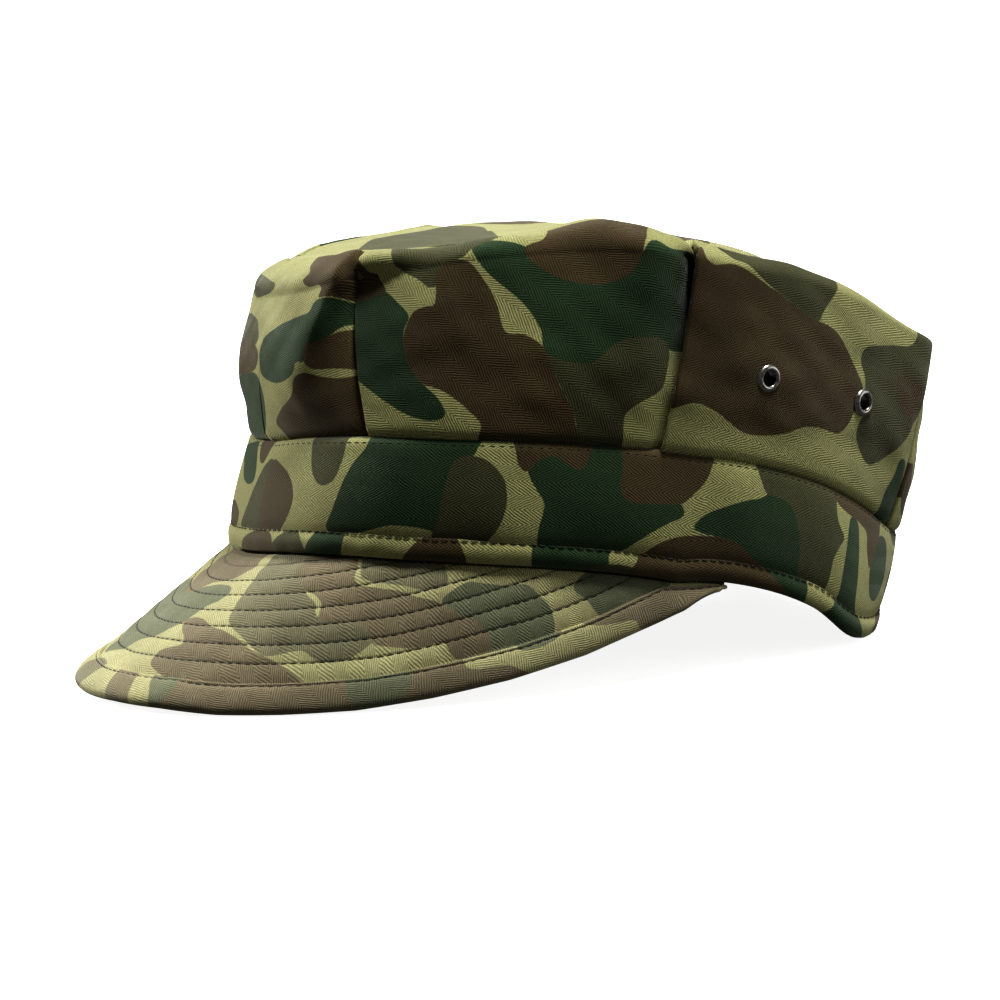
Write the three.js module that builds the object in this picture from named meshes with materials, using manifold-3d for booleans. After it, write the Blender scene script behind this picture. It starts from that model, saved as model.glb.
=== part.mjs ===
// A soft military cap with a flat pleated crown, a band, a stitched visor and four vent eyelets.
// Millimetres. +Z is up, the visor points along -Y, and the wearer's left is +X. The cap lies on
// z = 0 as it does on a table: on both sides of the visor's edge and on the back of the hem.
import * as THREE from 'three';
import Module from 'manifold-3d';

const wasm = await Module();
wasm.setup();

// Cloth thicknesses, and the clearance between pieces that are sewn together
const CROWN_CLOTH = 1.4;
const BAND_CLOTH = 2.4;
const HEM_THICK = 3.4;
const HEM_HEIGHT = 6.4;
const HEM_PROUD = 0.6;
const VISOR_THICK = 3.0;
const BINDING_THICK = 3.8;
const BINDING_WIDTH = 7;
const GAP = 0.35;

// How far soft folded edges are rounded off
const HEM_SOFT = 0.5;
const BINDING_SOFT = 1.3;

// Ways round the cap are counted in stations: 0 is the middle of the front, 13 the middle of the
// back, and minus stations lie on the wearer's right. Pleats stand at stations 2, 6 and 10.
const STATIONS_HALF = 13;
const STATIONS_ROUND = 2 * STATIONS_HALF;
const STATION_ANGLE = Math.PI / STATIONS_HALF;
const MM_PER_STATION = 22;

// The middle of the footprint, in the frame that the rings are drawn in
const FOOTPRINT_Y = -20.3;

// Plans of the two sewn rings: half width, front and back depth from the middle, and how square
// the front and the back halves are (2 is an ellipse)
const BOTTOM_PLAN = { halfWidth: 83, middleY: -2, front: 99, back: 88, squareFront: 2.15, squareBack: 3.1 };
const SEAM_PLAN = { halfWidth: 84, middleY: 6, front: 98, back: 97, squareFront: 2.15, squareBack: 2.35 };

// Heights of the band's two edges, a row for each station, on the wearer's left and right
const BAND_HEIGHTS = [
  { bottomLeft: 37.0, bottomRight: 37.0, seamLeft: 68.5, seamRight: 68.5 },
  { bottomLeft: 39.0, bottomRight: 35.4, seamLeft: 71.1, seamRight: 67.0 },
  { bottomLeft: 39.8, bottomRight: 35.6, seamLeft: 72.4, seamRight: 67.6 },
  { bottomLeft: 39.0, bottomRight: 36.0, seamLeft: 72.3, seamRight: 68.6 },
  { bottomLeft: 37.4, bottomRight: 35.6, seamLeft: 71.2, seamRight: 68.8 },
  { bottomLeft: 34.8, bottomRight: 33.8, seamLeft: 69.1, seamRight: 67.4 },
  { bottomLeft: 30.5, bottomRight: 30.0, seamLeft: 65.2, seamRight: 64.0 },
  { bottomLeft: 23.0, bottomRight: 24.0, seamLeft: 58.6, seamRight: 58.2 },
  { bottomLeft: 13.8, bottomRight: 16.6, seamLeft: 50.4, seamRight: 50.8 },
  { bottomLeft: 2.4, bottomRight: 8.0, seamLeft: 40.4, seamRight: 42.6 },
  { bottomLeft: -0.3, bottomRight: 2.0, seamLeft: 30.5, seamRight: 34.6 },
  { bottomLeft: 0.2, bottomRight: -0.4, seamLeft: 26.5, seamRight: 29.0 },
  { bottomLeft: 1.6, bottomRight: 0.9, seamLeft: 27.0, seamRight: 28.0 },
  { bottomLeft: 1.8, bottomRight: 1.8, seamLeft: 27.5, seamRight: 27.5 },
];

// The crown's rim, a row for each station: its plan, its height on either side, how far the wall
// swells on its way up, and the radius of the soft roll from the wall to the top
const RIM = [
  { x: 0, y: -85, left: 120.0, right: 120.0, swell: 4.0, roll: 10 },
  { x: 19, y: -84, left: 122.0, right: 119.0, swell: 4.0, roll: 10 },
  { x: 34, y: -76, left: 123.5, right: 119.0, swell: 2.5, roll: 8 },
  { x: 50, y: -59, left: 124.5, right: 120.5, swell: 2.0, roll: 6 },
  { x: 64, y: -38, left: 126.5, right: 121.5, swell: 2.0, roll: 6 },
  { x: 75, y: -17, left: 129.5, right: 122.5, swell: 2.5, roll: 9 },
  { x: 84, y: 3, left: 124.0, right: 120.5, swell: 1.5, roll: 6 },
  { x: 85, y: 24, left: 117.5, right: 116.0, swell: 1.0, roll: 5 },
  { x: 81, y: 45, left: 112.2, right: 110.0, swell: 1.0, roll: 5 },
  { x: 73, y: 69, left: 102.5, right: 100.5, swell: 1.5, roll: 5 },
  { x: 59, y: 95, left: 86.8, right: 86.0, swell: 2.0, roll: 3 },
  { x: 38, y: 105, left: 86.5, right: 87.0, swell: 3.0, roll: 6 },
  { x: 19, y: 109, left: 87.5, right: 87.5, swell: 3.5, roll: 6 },
  { x: 0, y: 110, left: 88.0, right: 88.0, swell: 3.5, roll: 6 },
];

// The crown's pleats on either side: each is a valley in the wall with a ridge before it and the
// next panel's fold edge lapped over it, deepest at the rim and nearly flat at the band
const PLEATS = [
  { station: 2, seamStation: 2.25, valley: 6.0, ridge: 2.0, ridgeAway: 11, lap: 2.5, settles: 22 },
  { station: 6, seamStation: 6.05, valley: 4.5, ridge: 2.5, ridgeAway: 15, lap: 6.5, settles: 24 },
  { station: 10.4, seamStation: 10, valley: 4.0, ridge: 2.0, ridgeAway: 9, lap: 2.5, settles: 20 },
];
const PLEAT_EDGE = 1.2;
const PLEAT_AT_SEAM = 0.12;
const PLEAT_AT_TOP_SEAM = 0.25;

// How the wall swells on its way up and how far its roll turns over, as shares of a half and a
// quarter turn, and how much wider than high the roll is
const SWELL_SPAN = 0.9;
const ROLL_SPAN = 0.9;
const ROLL_WIDE = 1.3;

// The top panel rises a little inside its seam, most behind the front
const TOP_MIDDLE = { x: 0, y: 14, z: 116.5 };
const TOP_RISE = 7;

// The visor's outer edge in plan, the way its lines fan out from the band, and the height of the
// upper face at the edge, a row for each tenth of the way from the middle to the visor's end
const VISOR = { halfWidth: 84, endY: 12, reach: 164.5, square: 2.6, endAngle: 97, fan: 1.35, arch: 0.6 };
const VISOR_EDGE_HEIGHTS = [3.7, 3.8, 3.2, 1.7, 1.3, 1.3, 3.0, 5.8, 10.2, 16.8, 24.0];
const PLATE_END = 0.965;
const PLATE_LEAST = 0.12;
const BINDING_PROUD = 0.4;
const BINDING_END = 0.97;
const FACE_ROOT_INSET = 1.2;
const END_TAPER = { from: 0.8, thinned: 0.55 };

// The visor's seam lip, which is sewn to the inside of the hem
const LIP = { clear: 0.5, thick: 1.6, rise: 4 };

// Vent eyelets: outer and barrel radii, and where each pair sits between the pleats at 6 and 10
const EYELET = { flangeRadius: 4.1, barrelRadius: 2.7, holeRadius: 2.1, flangeThick: 0.9, tail: 0.6 };
const EYELET_PLACES = [
  { name: 'front', station: 7.2, rise: 0.46 },
  { name: 'rear', station: 8.8, rise: 0.5 },
];

// Facets
const RING_STEPS = 78;
const STATION_STEP = 0.5;
const BESIDE_PLEAT = [-20, -14, -9, -5, -1.2, 1.2, 6, 12, 19];
const WALL_ROWS = [0, 0.12, 0.32, 0.52, 0.7, 0.86, 1];
const ROLL_ROWS = [1.3, 1.65, 2];
const VISOR_STEPS = 44;
const PLATE_ROWS = [0, 0.33, 0.67, 1];
const TOP_ROWS = [1, 0.94, 0.8, 0.55, 0.28];
const EYELET_SIDES = 16;

const point = (x, y, z) => new THREE.Vector3(x, y, z);
const mix = (a, b, share) => a.clone().lerp(b, share);
const smoothstep = (share) => share * share * (3 - 2 * share);

// Cloth that would dip below the table lies flat on it
const onTable = (at) => at.setZ(Math.max(at.z, 0));

// A smooth closed curve through one value for each station
function around(leftOf, rightOf) {
  const values = [];
  for (let s = 0; s < STATIONS_ROUND; s += 1) {
    values.push(s <= STATIONS_HALF ? leftOf(s) : rightOf(STATIONS_ROUND - s));
  }
  const at = (index) => values[((index % STATIONS_ROUND) + STATIONS_ROUND) % STATIONS_ROUND];
  return (station) => {
    const index = Math.floor(station);
    const t = station - index;
    const [a, b, c, d] = [at(index - 1), at(index), at(index + 1), at(index + 2)];
    const bend = 2 * a - 5 * b + 4 * c - d;
    const twist = 3 * b - a - 3 * c + d;
    return b + 0.5 * t * (c - a + t * (bend + t * twist));
  };
}

// A point of a rounded plan, which is an ellipse made a little square
function planPoint(plan, station) {
  const angle = station * STATION_ANGLE;
  const sine = Math.sin(angle);
  const cosine = Math.cos(angle);
  const square = cosine > 0 ? plan.squareFront : plan.squareBack;
  const x = Math.sign(sine) * plan.halfWidth * Math.abs(sine) ** (2 / square);
  const reach = (cosine > 0 ? -plan.front : plan.back) * Math.abs(cosine) ** (2 / square);
  return { x, y: plan.middleY + reach - FOOTPRINT_Y };
}

const bottomHeight = around((s) => BAND_HEIGHTS[s].bottomLeft, (s) => BAND_HEIGHTS[s].bottomRight);
const seamHeight = around((s) => BAND_HEIGHTS[s].seamLeft, (s) => BAND_HEIGHTS[s].seamRight);
const rimX = around((s) => RIM[s].x, (s) => -RIM[s].x);
const rimY = around((s) => RIM[s].y, (s) => RIM[s].y);
const rimHeight = around((s) => RIM[s].left, (s) => RIM[s].right);
const rimSwell = around((s) => RIM[s].swell, (s) => RIM[s].swell);
const rimRoll = around((s) => RIM[s].roll, (s) => RIM[s].roll);

function bottomPoint(station) {
  const { x, y } = planPoint(BOTTOM_PLAN, station);
  return point(x, y, bottomHeight(station));
}

function seamPoint(station) {
  const { x, y } = planPoint(SEAM_PLAN, station);
  return point(x, y, seamHeight(station));
}

function rimPoint(station) {
  return point(rimX(station), rimY(station) - FOOTPRINT_Y, rimHeight(station));
}

// The outward normal of a surface that is given by a way round and a way up
function normalOf(surface, station, up) {
  const step = 0.02;
  const alongRound = surface(station + step, up).sub(surface(station - step, up));
  const alongUp = surface(station, up + step).sub(surface(station, up - step));
  return alongRound.cross(alongUp).normalize();
}

// The band from its bottom edge (0) to the crown seam (1)
const BAND_SWELL = 1.2;
function bandLine(station, up) {
  const at = mix(bottomPoint(station), seamPoint(station), up);
  const out = point(at.x, at.y + FOOTPRINT_Y, 0).normalize();
  return at.addScaledVector(out, BAND_SWELL * Math.sin(Math.PI * up));
}

// How far a pleat moves the crown's wall in or out, at a distance in mm past the pleat's line
function pleatShape(pleat, past) {
  if (past <= 0) {
    const toRidge = -past / pleat.ridgeAway;
    if (toRidge < 1) return -pleat.valley + (pleat.valley + pleat.ridge) * smoothstep(toRidge);
    const away = Math.min(1, toRidge - 1);
    return pleat.ridge * (1 - smoothstep(away));
  }
  const start = pleat.lap - pleat.valley;
  return start * (1 - smoothstep(Math.min(1, past / pleat.settles)));
}

function pleatDepth(station, up) {
  const side = Math.abs(station > STATIONS_HALF ? station - STATIONS_ROUND : station);
  const fade = up <= 1
    ? PLEAT_AT_SEAM + (1 - PLEAT_AT_SEAM) * up ** 1.3
    : 1 + (PLEAT_AT_TOP_SEAM - 1) * (up - 1);
  let depth = 0;
  for (const pleat of PLEATS) {
    const line = pleat.seamStation + (pleat.station - pleat.seamStation) * Math.min(up, 1);
    const past = (side - line) * MM_PER_STATION;
    const edge = THREE.MathUtils.clamp(past / PLEAT_EDGE, -1, 1);
    const before = pleatShape(pleat, Math.min(past, 0));
    const behind = pleatShape(pleat, Math.max(past, 1e-9));
    const share = smoothstep((edge + 1) / 2);
    depth += before * (1 - share) + behind * share;
  }
  return depth * fade;
}

// The crown's wall without its pleats: 0 is the band seam, 1 the start of the roll, 2 the top seam
function wallBase(station, up) {
  const seam = seamPoint(station);
  const rim = rimPoint(station);
  const roll = rimRoll(station);
  const inward = point(-rim.x, -(rim.y + FOOTPRINT_Y - TOP_MIDDLE.y), 0).normalize();
  const rollStart = rim.clone();
  rollStart.z -= roll;
  if (up <= 1) {
    const at = mix(seam, rollStart, up);
    return at.addScaledVector(inward, -rimSwell(station) * Math.sin(Math.PI * up * SWELL_SPAN));
  }
  const turn = (up - 1) * Math.PI / 2 * ROLL_SPAN;
  const start = rollStart.addScaledVector(inward, -rimSwell(station) * Math.sin(Math.PI * SWELL_SPAN));
  start.z += roll * Math.sin(turn);
  return start.addScaledVector(inward, roll * ROLL_WIDE * (1 - Math.cos(turn)));
}

function wallOuter(station, up) {
  const normal = normalOf(wallBase, station, up);
  return wallBase(station, up).addScaledVector(normal, pleatDepth(station, up));
}

function wallInner(station, up) {
  const normal = normalOf(wallBase, station, up);
  return wallOuter(station, up).addScaledVector(normal, -CROWN_CLOTH);
}

// Stations for a ring: even ones, and for the crown closer ones beside each pleat
function evenStations(steps) {
  return Array.from({ length: steps }, (_, i) => i * STATIONS_ROUND / steps);
}

function crownStations() {
  const beside = PLEATS.flatMap(({ station }) => BESIDE_PLEAT.map((away) => station + away / MM_PER_STATION));
  const found = [...beside, ...beside.map((station) => STATIONS_ROUND - station)];
  const clearance = 0.3;
  for (let station = 0; station < STATIONS_ROUND; station += STATION_STEP) {
    const isClear = found.every((other) => Math.abs(other - station) > clearance);
    if (isClear) found.push(station);
  }
  return found.sort((a, b) => a - b);
}

// A closed mesh from rows of points: each section is a closed outline with as many points as the
// last. A ring joins its last section to its first, and any other run gets two ends.
function loft(sections, isRing) {
  const across = sections[0].length;
  const positions = sections.flat().flatMap((p) => [p.x, p.y, p.z]);
  const faces = [];
  const runs = isRing ? sections.length : sections.length - 1;
  for (let i = 0; i < runs; i += 1) {
    const next = (i + 1) % sections.length;
    for (let j = 0; j < across; j += 1) {
      const after = (j + 1) % across;
      const [a, b] = [i * across + j, i * across + after];
      const [c, d] = [next * across + after, next * across + j];
      faces.push(a, b, c, a, c, d);
    }
  }
  if (!isRing) {
    const last = (sections.length - 1) * across;
    for (let j = 0; j < across / 2 - 1; j += 1) {
      const far = across - 1 - j;
      faces.push(j, far, j + 1, j + 1, far, far - 1);
      faces.push(last + j, last + j + 1, last + far, last + j + 1, last + far - 1, last + far);
    }
  }
  return facesOutward(positions, faces);
}

// Turns the faces round if they point inwards, which the sign of the volume tells
function facesOutward(positions, faces) {
  let volume = 0;
  const corner = (index) => new THREE.Vector3().fromArray(positions, 3 * index);
  for (let f = 0; f < faces.length; f += 3) {
    volume += corner(faces[f]).dot(corner(faces[f + 1]).cross(corner(faces[f + 2])));
  }
  if (volume < 0) faces.reverse();
  const geometry = new THREE.BufferGeometry();
  geometry.setAttribute('position', new THREE.Float32BufferAttribute(positions, 3));
  geometry.setIndex(faces);
  return geometry;
}

// The band's hem: the folded lower edge, a little thicker than the band
function hemGeometry() {
  const soft = HEM_SOFT;
  const upper = [[0, soft], [0, HEM_HEIGHT - soft], [soft, HEM_HEIGHT], [HEM_THICK, HEM_HEIGHT]];
  const lower = [[HEM_THICK, 0], [soft, 0]];
  return loft(evenStations(RING_STEPS).map((station) => {
    const foot = bandLine(station, 0);
    const rise = bandLine(station, 1).sub(foot).normalize();
    const normal = normalOf(bandLine, station, 0.02);
    const level = normal.clone().setZ(0).normalize();
    const place = (direction) => ([depth, height]) => onTable(foot.clone()
      .addScaledVector(rise, height)
      .addScaledVector(direction, -depth));
    return [...upper.map(place(normal)), ...lower.map(place(level))];
  }), true);
}

function bandGeometry() {
  const rows = [0, 0.25, 0.5, 0.75, 1];
  return loft(evenStations(RING_STEPS).map((station) => {
    const length = bandLine(station, 1).distanceTo(bandLine(station, 0));
    const low = (HEM_HEIGHT + GAP) / length;
    const high = 1 - GAP / length;
    const face = (row, depth) => {
      const up = low + (high - low) * row;
      return bandLine(station, up).addScaledVector(normalOf(bandLine, station, up), -depth);
    };
    const outer = rows.map((row) => face(row, HEM_PROUD));
    const inner = rows.map((row) => face(row, HEM_PROUD + BAND_CLOTH)).reverse();
    return [...outer, ...inner];
  }), true);
}

function crownSideGeometry() {
  const rows = [...WALL_ROWS, ...ROLL_ROWS];
  return loft(crownStations().map((station) => [
    ...rows.map((up) => wallOuter(station, up)),
    ...rows.toReversed().map((up) => wallInner(station, up)),
  ]), true);
}

// The top panel, from its middle (0) to its seam (1), is a soft dome that follows its seam's height
const TOP_INSET = 0.6;
function topPoint(station, share, drop) {
  const middle = point(TOP_MIDDLE.x, TOP_MIDDLE.y - FOOTPRINT_Y, TOP_MIDDLE.z);
  const seam = wallOuter(station, 2);
  const edge = seam.clone().add(middle.clone().sub(seam).setZ(0).setLength(TOP_INSET));
  const at = mix(middle, edge, share);
  const swell = TOP_RISE * (1 - share * share) * smoothstep(Math.min(1, (1 - share) * 3));
  at.z = middle.z + (edge.z - middle.z) * share ** 1.5 + swell - drop;
  return at;
}

// Rings of points on the top panel's upper and lower face, joined at the rim and at the middle
function crownTopGeometry() {
  const stations = evenStations(RING_STEPS);
  const positions = [];
  const faces = [];
  const ringStart = [];
  for (const drop of [0, CROWN_CLOTH]) {
    for (const share of TOP_ROWS) {
      ringStart.push(positions.length / 3);
      for (const station of stations) positions.push(...topPoint(station, share, drop).toArray());
    }
  }
  const middleTop = positions.length / 3;
  positions.push(...topPoint(0, 0, 0).toArray(), ...topPoint(0, 0, CROWN_CLOTH).toArray());
  const join = (from, to) => stations.forEach((_, i) => {
    const next = (i + 1) % RING_STEPS;
    faces.push(from + i, from + next, to + next, from + i, to + next, to + i);
  });
  const rows = TOP_ROWS.length;
  for (let row = 0; row + 1 < rows; row += 1) {
    join(ringStart[row], ringStart[row + 1]);
    join(ringStart[rows + row + 1], ringStart[rows + row]);
  }
  join(ringStart[rows], ringStart[0]);
  stations.forEach((_, i) => {
    const next = (i + 1) % RING_STEPS;
    faces.push(ringStart[rows - 1] + i, ringStart[rows - 1] + next, middleTop);
    faces.push(ringStart[2 * rows - 1] + next, ringStart[2 * rows - 1] + i, middleTop + 1);
  });
  return facesOutward(positions, faces);
}

// The visor's upper face. along runs from -1 at its right end to 1 at its left, and out from 0 at
// the band to 1 at the edge.
function visorEdgeHeight(along) {
  const place = Math.abs(along) * (VISOR_EDGE_HEIGHTS.length - 1);
  const row = Math.min(Math.floor(place), VISOR_EDGE_HEIGHTS.length - 2);
  const [low, high] = VISOR_EDGE_HEIGHTS.slice(row, row + 2);
  return low + (high - low) * (place - row);
}

function visorStation(along) {
  return along * THREE.MathUtils.degToRad(VISOR.endAngle) / STATION_ANGLE;
}

function visorFace(along, out) {
  const root = bottomPoint(visorStation(along));
  root.addScaledVector(point(root.x, root.y + FOOTPRINT_Y, 0).normalize(), -FACE_ROOT_INSET);
  root.z -= GAP;
  const turn = Math.PI / 2 * (1 - Math.abs(along)) ** VISOR.fan;
  const edge = point(
    Math.sign(along) * VISOR.halfWidth * Math.cos(turn),
    VISOR.endY - VISOR.reach * Math.sin(turn) ** (2 / VISOR.square) - FOOTPRINT_Y,
    visorEdgeHeight(along),
  );
  const at = mix(root, edge, out);
  const width = root.distanceTo(edge);
  at.z += VISOR.arch * Math.min(1, width / 50) * Math.sin(Math.PI * out);
  return at;
}

function visorWidth(along) {
  return visorFace(along, 0).distanceTo(visorFace(along, 1));
}

function visorNormal(along, out) {
  const step = 0.01;
  const alongEdge = visorFace(along + step, out).sub(visorFace(along - step, out));
  const outward = visorFace(along, out + step).sub(visorFace(along, out - step));
  return outward.cross(alongEdge).normalize();
}

// The places along the visor that its sections stand at, closer together towards its ends
function visorSpan(end) {
  const crowding = 0.4 * Math.PI;
  const places = Array.from({ length: VISOR_STEPS + 1 }, (_, i) => 2 * i / VISOR_STEPS - 1);
  const alongs = places.map((place) => BINDING_END * Math.sin(place * crowding) / Math.sin(crowding));
  return alongs.filter((along) => Math.abs(along) <= end);
}

// How much of the visor's depth the plate takes up, which leaves the rest for its binding
function plateShare(along) {
  return Math.max(PLATE_LEAST, 1 - (BINDING_WIDTH + GAP) / visorWidth(along));
}

// The visor thins out towards its two ends
function thinning(along) {
  const toEnd = THREE.MathUtils.clamp((Math.abs(along) - END_TAPER.from) / (1 - END_TAPER.from), 0, 1);
  return 1 - END_TAPER.thinned * smoothstep(toEnd);
}

// The corners of the seam lip at one place along the visor, which goes up behind the hem
function lipPoints(along) {
  const station = visorStation(along);
  const foot = bandLine(station, 0);
  const rise = bandLine(station, 1).sub(foot).normalize();
  const normal = normalOf(bandLine, station, 0.02);
  const near = HEM_THICK + LIP.clear;
  const place = (depth, height) => foot.clone()
    .addScaledVector(rise, height)
    .addScaledVector(normal, -depth);
  return {
    outerTop: place(near, LIP.rise),
    outerFoot: place(near, -GAP - BINDING_PROUD),
    innerFoot: place(near + LIP.thick, -GAP - BINDING_PROUD - VISOR_THICK * thinning(along)),
    innerTop: place(near + LIP.thick, LIP.rise),
  };
}

function visorGeometry() {
  return loft(visorSpan(PLATE_END).map((along) => {
    const face = (row, depth) => {
      const out = row * plateShare(along);
      return visorFace(along, out).addScaledVector(visorNormal(along, out), -depth);
    };
    const upper = PLATE_ROWS.map((row) => face(row, BINDING_PROUD));
    const lower = PLATE_ROWS.toReversed().map((row) => face(row, BINDING_PROUD + VISOR_THICK * thinning(along)));
    const lip = lipPoints(along);
    return [lip.outerTop, lip.outerFoot, ...upper, ...lower, lip.innerFoot, lip.innerTop];
  }), false);
}

function bindingGeometry() {
  return loft(visorSpan(BINDING_END).map((along) => {
    const width = visorWidth(along);
    const wide = (1 - plateShare(along)) * width - GAP;
    const thick = BINDING_THICK * thinning(along);
    const soft = BINDING_SOFT * thinning(along);
    const outline = [[wide, 0], [soft, 0], [0, thick * 0.3], [0, thick * 0.7], [soft, thick], [wide, thick]];
    return outline.map(([fromEdge, depth]) => {
      const out = 1 - fromEdge / width;
      return onTable(visorFace(along, out).addScaledVector(visorNormal(along, out), -depth));
    });
  }), false);
}

// One eyelet: a flange on the cloth and a barrel through it, turned from one closed outline
function eyeletGeometry() {
  const { flangeRadius, barrelRadius, holeRadius, flangeThick, tail } = EYELET;
  const depth = CROWN_CLOTH + 2 * GAP + tail;
  const outline = [
    [holeRadius, -depth], [barrelRadius, -depth], [barrelRadius, 0], [flangeRadius, 0],
    [flangeRadius, flangeThick * 0.35], [(flangeRadius + holeRadius) / 2, flangeThick],
    [holeRadius + 0.3, flangeThick * 0.7], [holeRadius, 0], [holeRadius, -depth],
  ].map(([radius, height]) => new THREE.Vector2(radius, height));
  return new THREE.LatheGeometry(outline, EYELET_SIDES).rotateX(Math.PI / 2);
}

function eyeletFrame(station, rise) {
  const at = wallOuter(station, rise);
  const normal = normalOf(wallOuter, station, rise);
  return { at, normal, turn: new THREE.Quaternion().setFromUnitVectors(point(0, 0, 1), normal) };
}

function solidOf(geometry) {
  const mesh = new wasm.Mesh({
    numProp: 3,
    vertProperties: Float32Array.from(geometry.attributes.position.array),
    triVerts: Uint32Array.from(geometry.index.array),
  });
  return new wasm.Manifold(mesh);
}

// A closed pin for cutting one eyelet's hole
function pinSolid(station, rise) {
  const { at, turn } = eyeletFrame(station, rise);
  const radius = EYELET.barrelRadius + GAP;
  const reach = 6;
  const disc = (height) => Array.from({ length: EYELET_SIDES }, (_, i) => {
    const angle = 2 * Math.PI * i / EYELET_SIDES;
    return point(radius * Math.cos(angle), radius * Math.sin(angle), height);
  });
  const sections = [disc(-reach), disc(reach)].map((ring) => ring.map((p) => p.applyQuaternion(turn).add(at)));
  return solidOf(loft(sections, false));
}

function cutEyeletHoles(geometry, places) {
  let solid = solidOf(geometry);
  for (const { station, rise } of places) solid = solid.subtract(pinSolid(station, rise));
  const { vertProperties, triVerts } = solid.getMesh();
  const cut = new THREE.BufferGeometry();
  cut.setAttribute('position', new THREE.BufferAttribute(Float32Array.from(vertProperties), 3));
  cut.setIndex(Array.from(triVerts));
  return cut;
}

// Finishes
const cloth = (color) => new THREE.MeshStandardMaterial({ color, roughness: 0.92, metalness: 0 });
const crownCloth = cloth(0x5a5a38);
const topCloth = cloth(0x8c8c66);
const bandCloth = cloth(0x4c4e30);
const hemCloth = cloth(0x6a6646);
const visorCloth = cloth(0x8a8460);
const gunmetal = new THREE.MeshStandardMaterial({ color: 0x4a4b48, roughness: 0.4, metalness: 0.9 });

const cap = new THREE.Group();
function addPiece(name, geometry, material) {
  const mesh = new THREE.Mesh(geometry, material);
  mesh.name = name;
  cap.add(mesh);
  return mesh;
}

// The eyelets on both sides of the crown
const eyeletPlaces = EYELET_PLACES.flatMap(({ name, station, rise }) => [
  { node: `eyelet_${name}_left`, station, rise },
  { node: `eyelet_${name}_right`, station: STATIONS_ROUND - station, rise },
]);

addPiece('crown_top', crownTopGeometry(), topCloth);
addPiece('crown_side', cutEyeletHoles(crownSideGeometry(), eyeletPlaces), crownCloth);
addPiece('band', bandGeometry(), bandCloth);
addPiece('band_hem', hemGeometry(), hemCloth);
addPiece('visor', visorGeometry(), visorCloth);
addPiece('visor_binding', bindingGeometry(), hemCloth);
for (const { node, station, rise } of eyeletPlaces) {
  const { at, normal, turn } = eyeletFrame(station, rise);
  const eyelet = addPiece(node, eyeletGeometry(), gunmetal);
  eyelet.quaternion.copy(turn);
  eyelet.position.copy(at).addScaledVector(normal, GAP);
}

export default cap;
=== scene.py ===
# %% [markdown]
# # A soft military cap, dressed round its CAD frame
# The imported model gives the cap's shape in plain solids, in metres, with the visor along -Y and the
# wearer's left at +X. Each solid of cloth is replaced here by a real sheet of cloth: a flat grid
# that is laid on the same lines as the solid, folded at the pleats, given its thickness, printed
# and stitched.

import math

import bmesh
import bpy
import numpy as np
from mathutils import Matrix, Vector


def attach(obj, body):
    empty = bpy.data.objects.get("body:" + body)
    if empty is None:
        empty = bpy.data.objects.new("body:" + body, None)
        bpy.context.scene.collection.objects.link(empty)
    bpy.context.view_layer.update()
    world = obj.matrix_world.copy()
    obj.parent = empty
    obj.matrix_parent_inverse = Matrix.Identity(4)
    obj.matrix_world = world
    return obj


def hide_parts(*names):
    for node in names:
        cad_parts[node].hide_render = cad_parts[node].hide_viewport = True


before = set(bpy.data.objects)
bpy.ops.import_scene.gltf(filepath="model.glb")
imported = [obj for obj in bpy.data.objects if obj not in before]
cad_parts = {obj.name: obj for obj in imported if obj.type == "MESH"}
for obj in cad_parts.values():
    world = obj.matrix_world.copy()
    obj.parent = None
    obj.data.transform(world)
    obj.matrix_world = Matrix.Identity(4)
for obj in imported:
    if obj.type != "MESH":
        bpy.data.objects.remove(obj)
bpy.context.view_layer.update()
MM = 0.001
print("frame loaded:", sorted(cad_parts))


# %% [markdown]
# ## The lines that the cap is cut on
# A cap is drawn as closed lines round the head: the lower edge of the band, the seam where band and
# crown meet, and the rim. Ways round are counted in stations, 0 at the middle of the front and 13
# at the middle of the back, with the wearer's right from 13 to 26. A few numbers at each station
# and a smooth curve between them are easier to correct than a hand-moved mesh, so this way is
# taken here, and the same numbers made the frame.

# %% Stations and heights
STATIONS_HALF = 13
STATIONS_ROUND = 26
STATION_ANGLE = math.pi / STATIONS_HALF
MM_PER_STATION = 22
FOOTPRINT_Y = -20.3
GAP = 0.35

BOTTOM_PLAN = dict(half_width=83, middle_y=-2, front=99, back=88, square_front=2.15, square_back=3.1)
SEAM_PLAN = dict(half_width=84, middle_y=6, front=98, back=97, square_front=2.15, square_back=2.35)

# bottom on the left and right, seam on the left and right, a row for each station
BAND_HEIGHTS = [
    (37.0, 37.0, 68.5, 68.5), (39.0, 35.4, 71.1, 67.0), (39.8, 35.6, 72.4, 67.6),
    (39.0, 36.0, 72.3, 68.6), (37.4, 35.6, 71.2, 68.8), (34.8, 33.8, 69.1, 67.4),
    (30.5, 30.0, 65.2, 64.0), (23.0, 24.0, 58.6, 58.2), (13.8, 16.6, 50.4, 50.8),
    (2.4, 8.0, 40.4, 42.6), (-0.3, 2.0, 30.5, 34.6), (0.2, -0.4, 26.5, 29.0),
    (1.6, 0.9, 27.0, 28.0), (1.8, 1.8, 27.5, 27.5),
]

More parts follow.
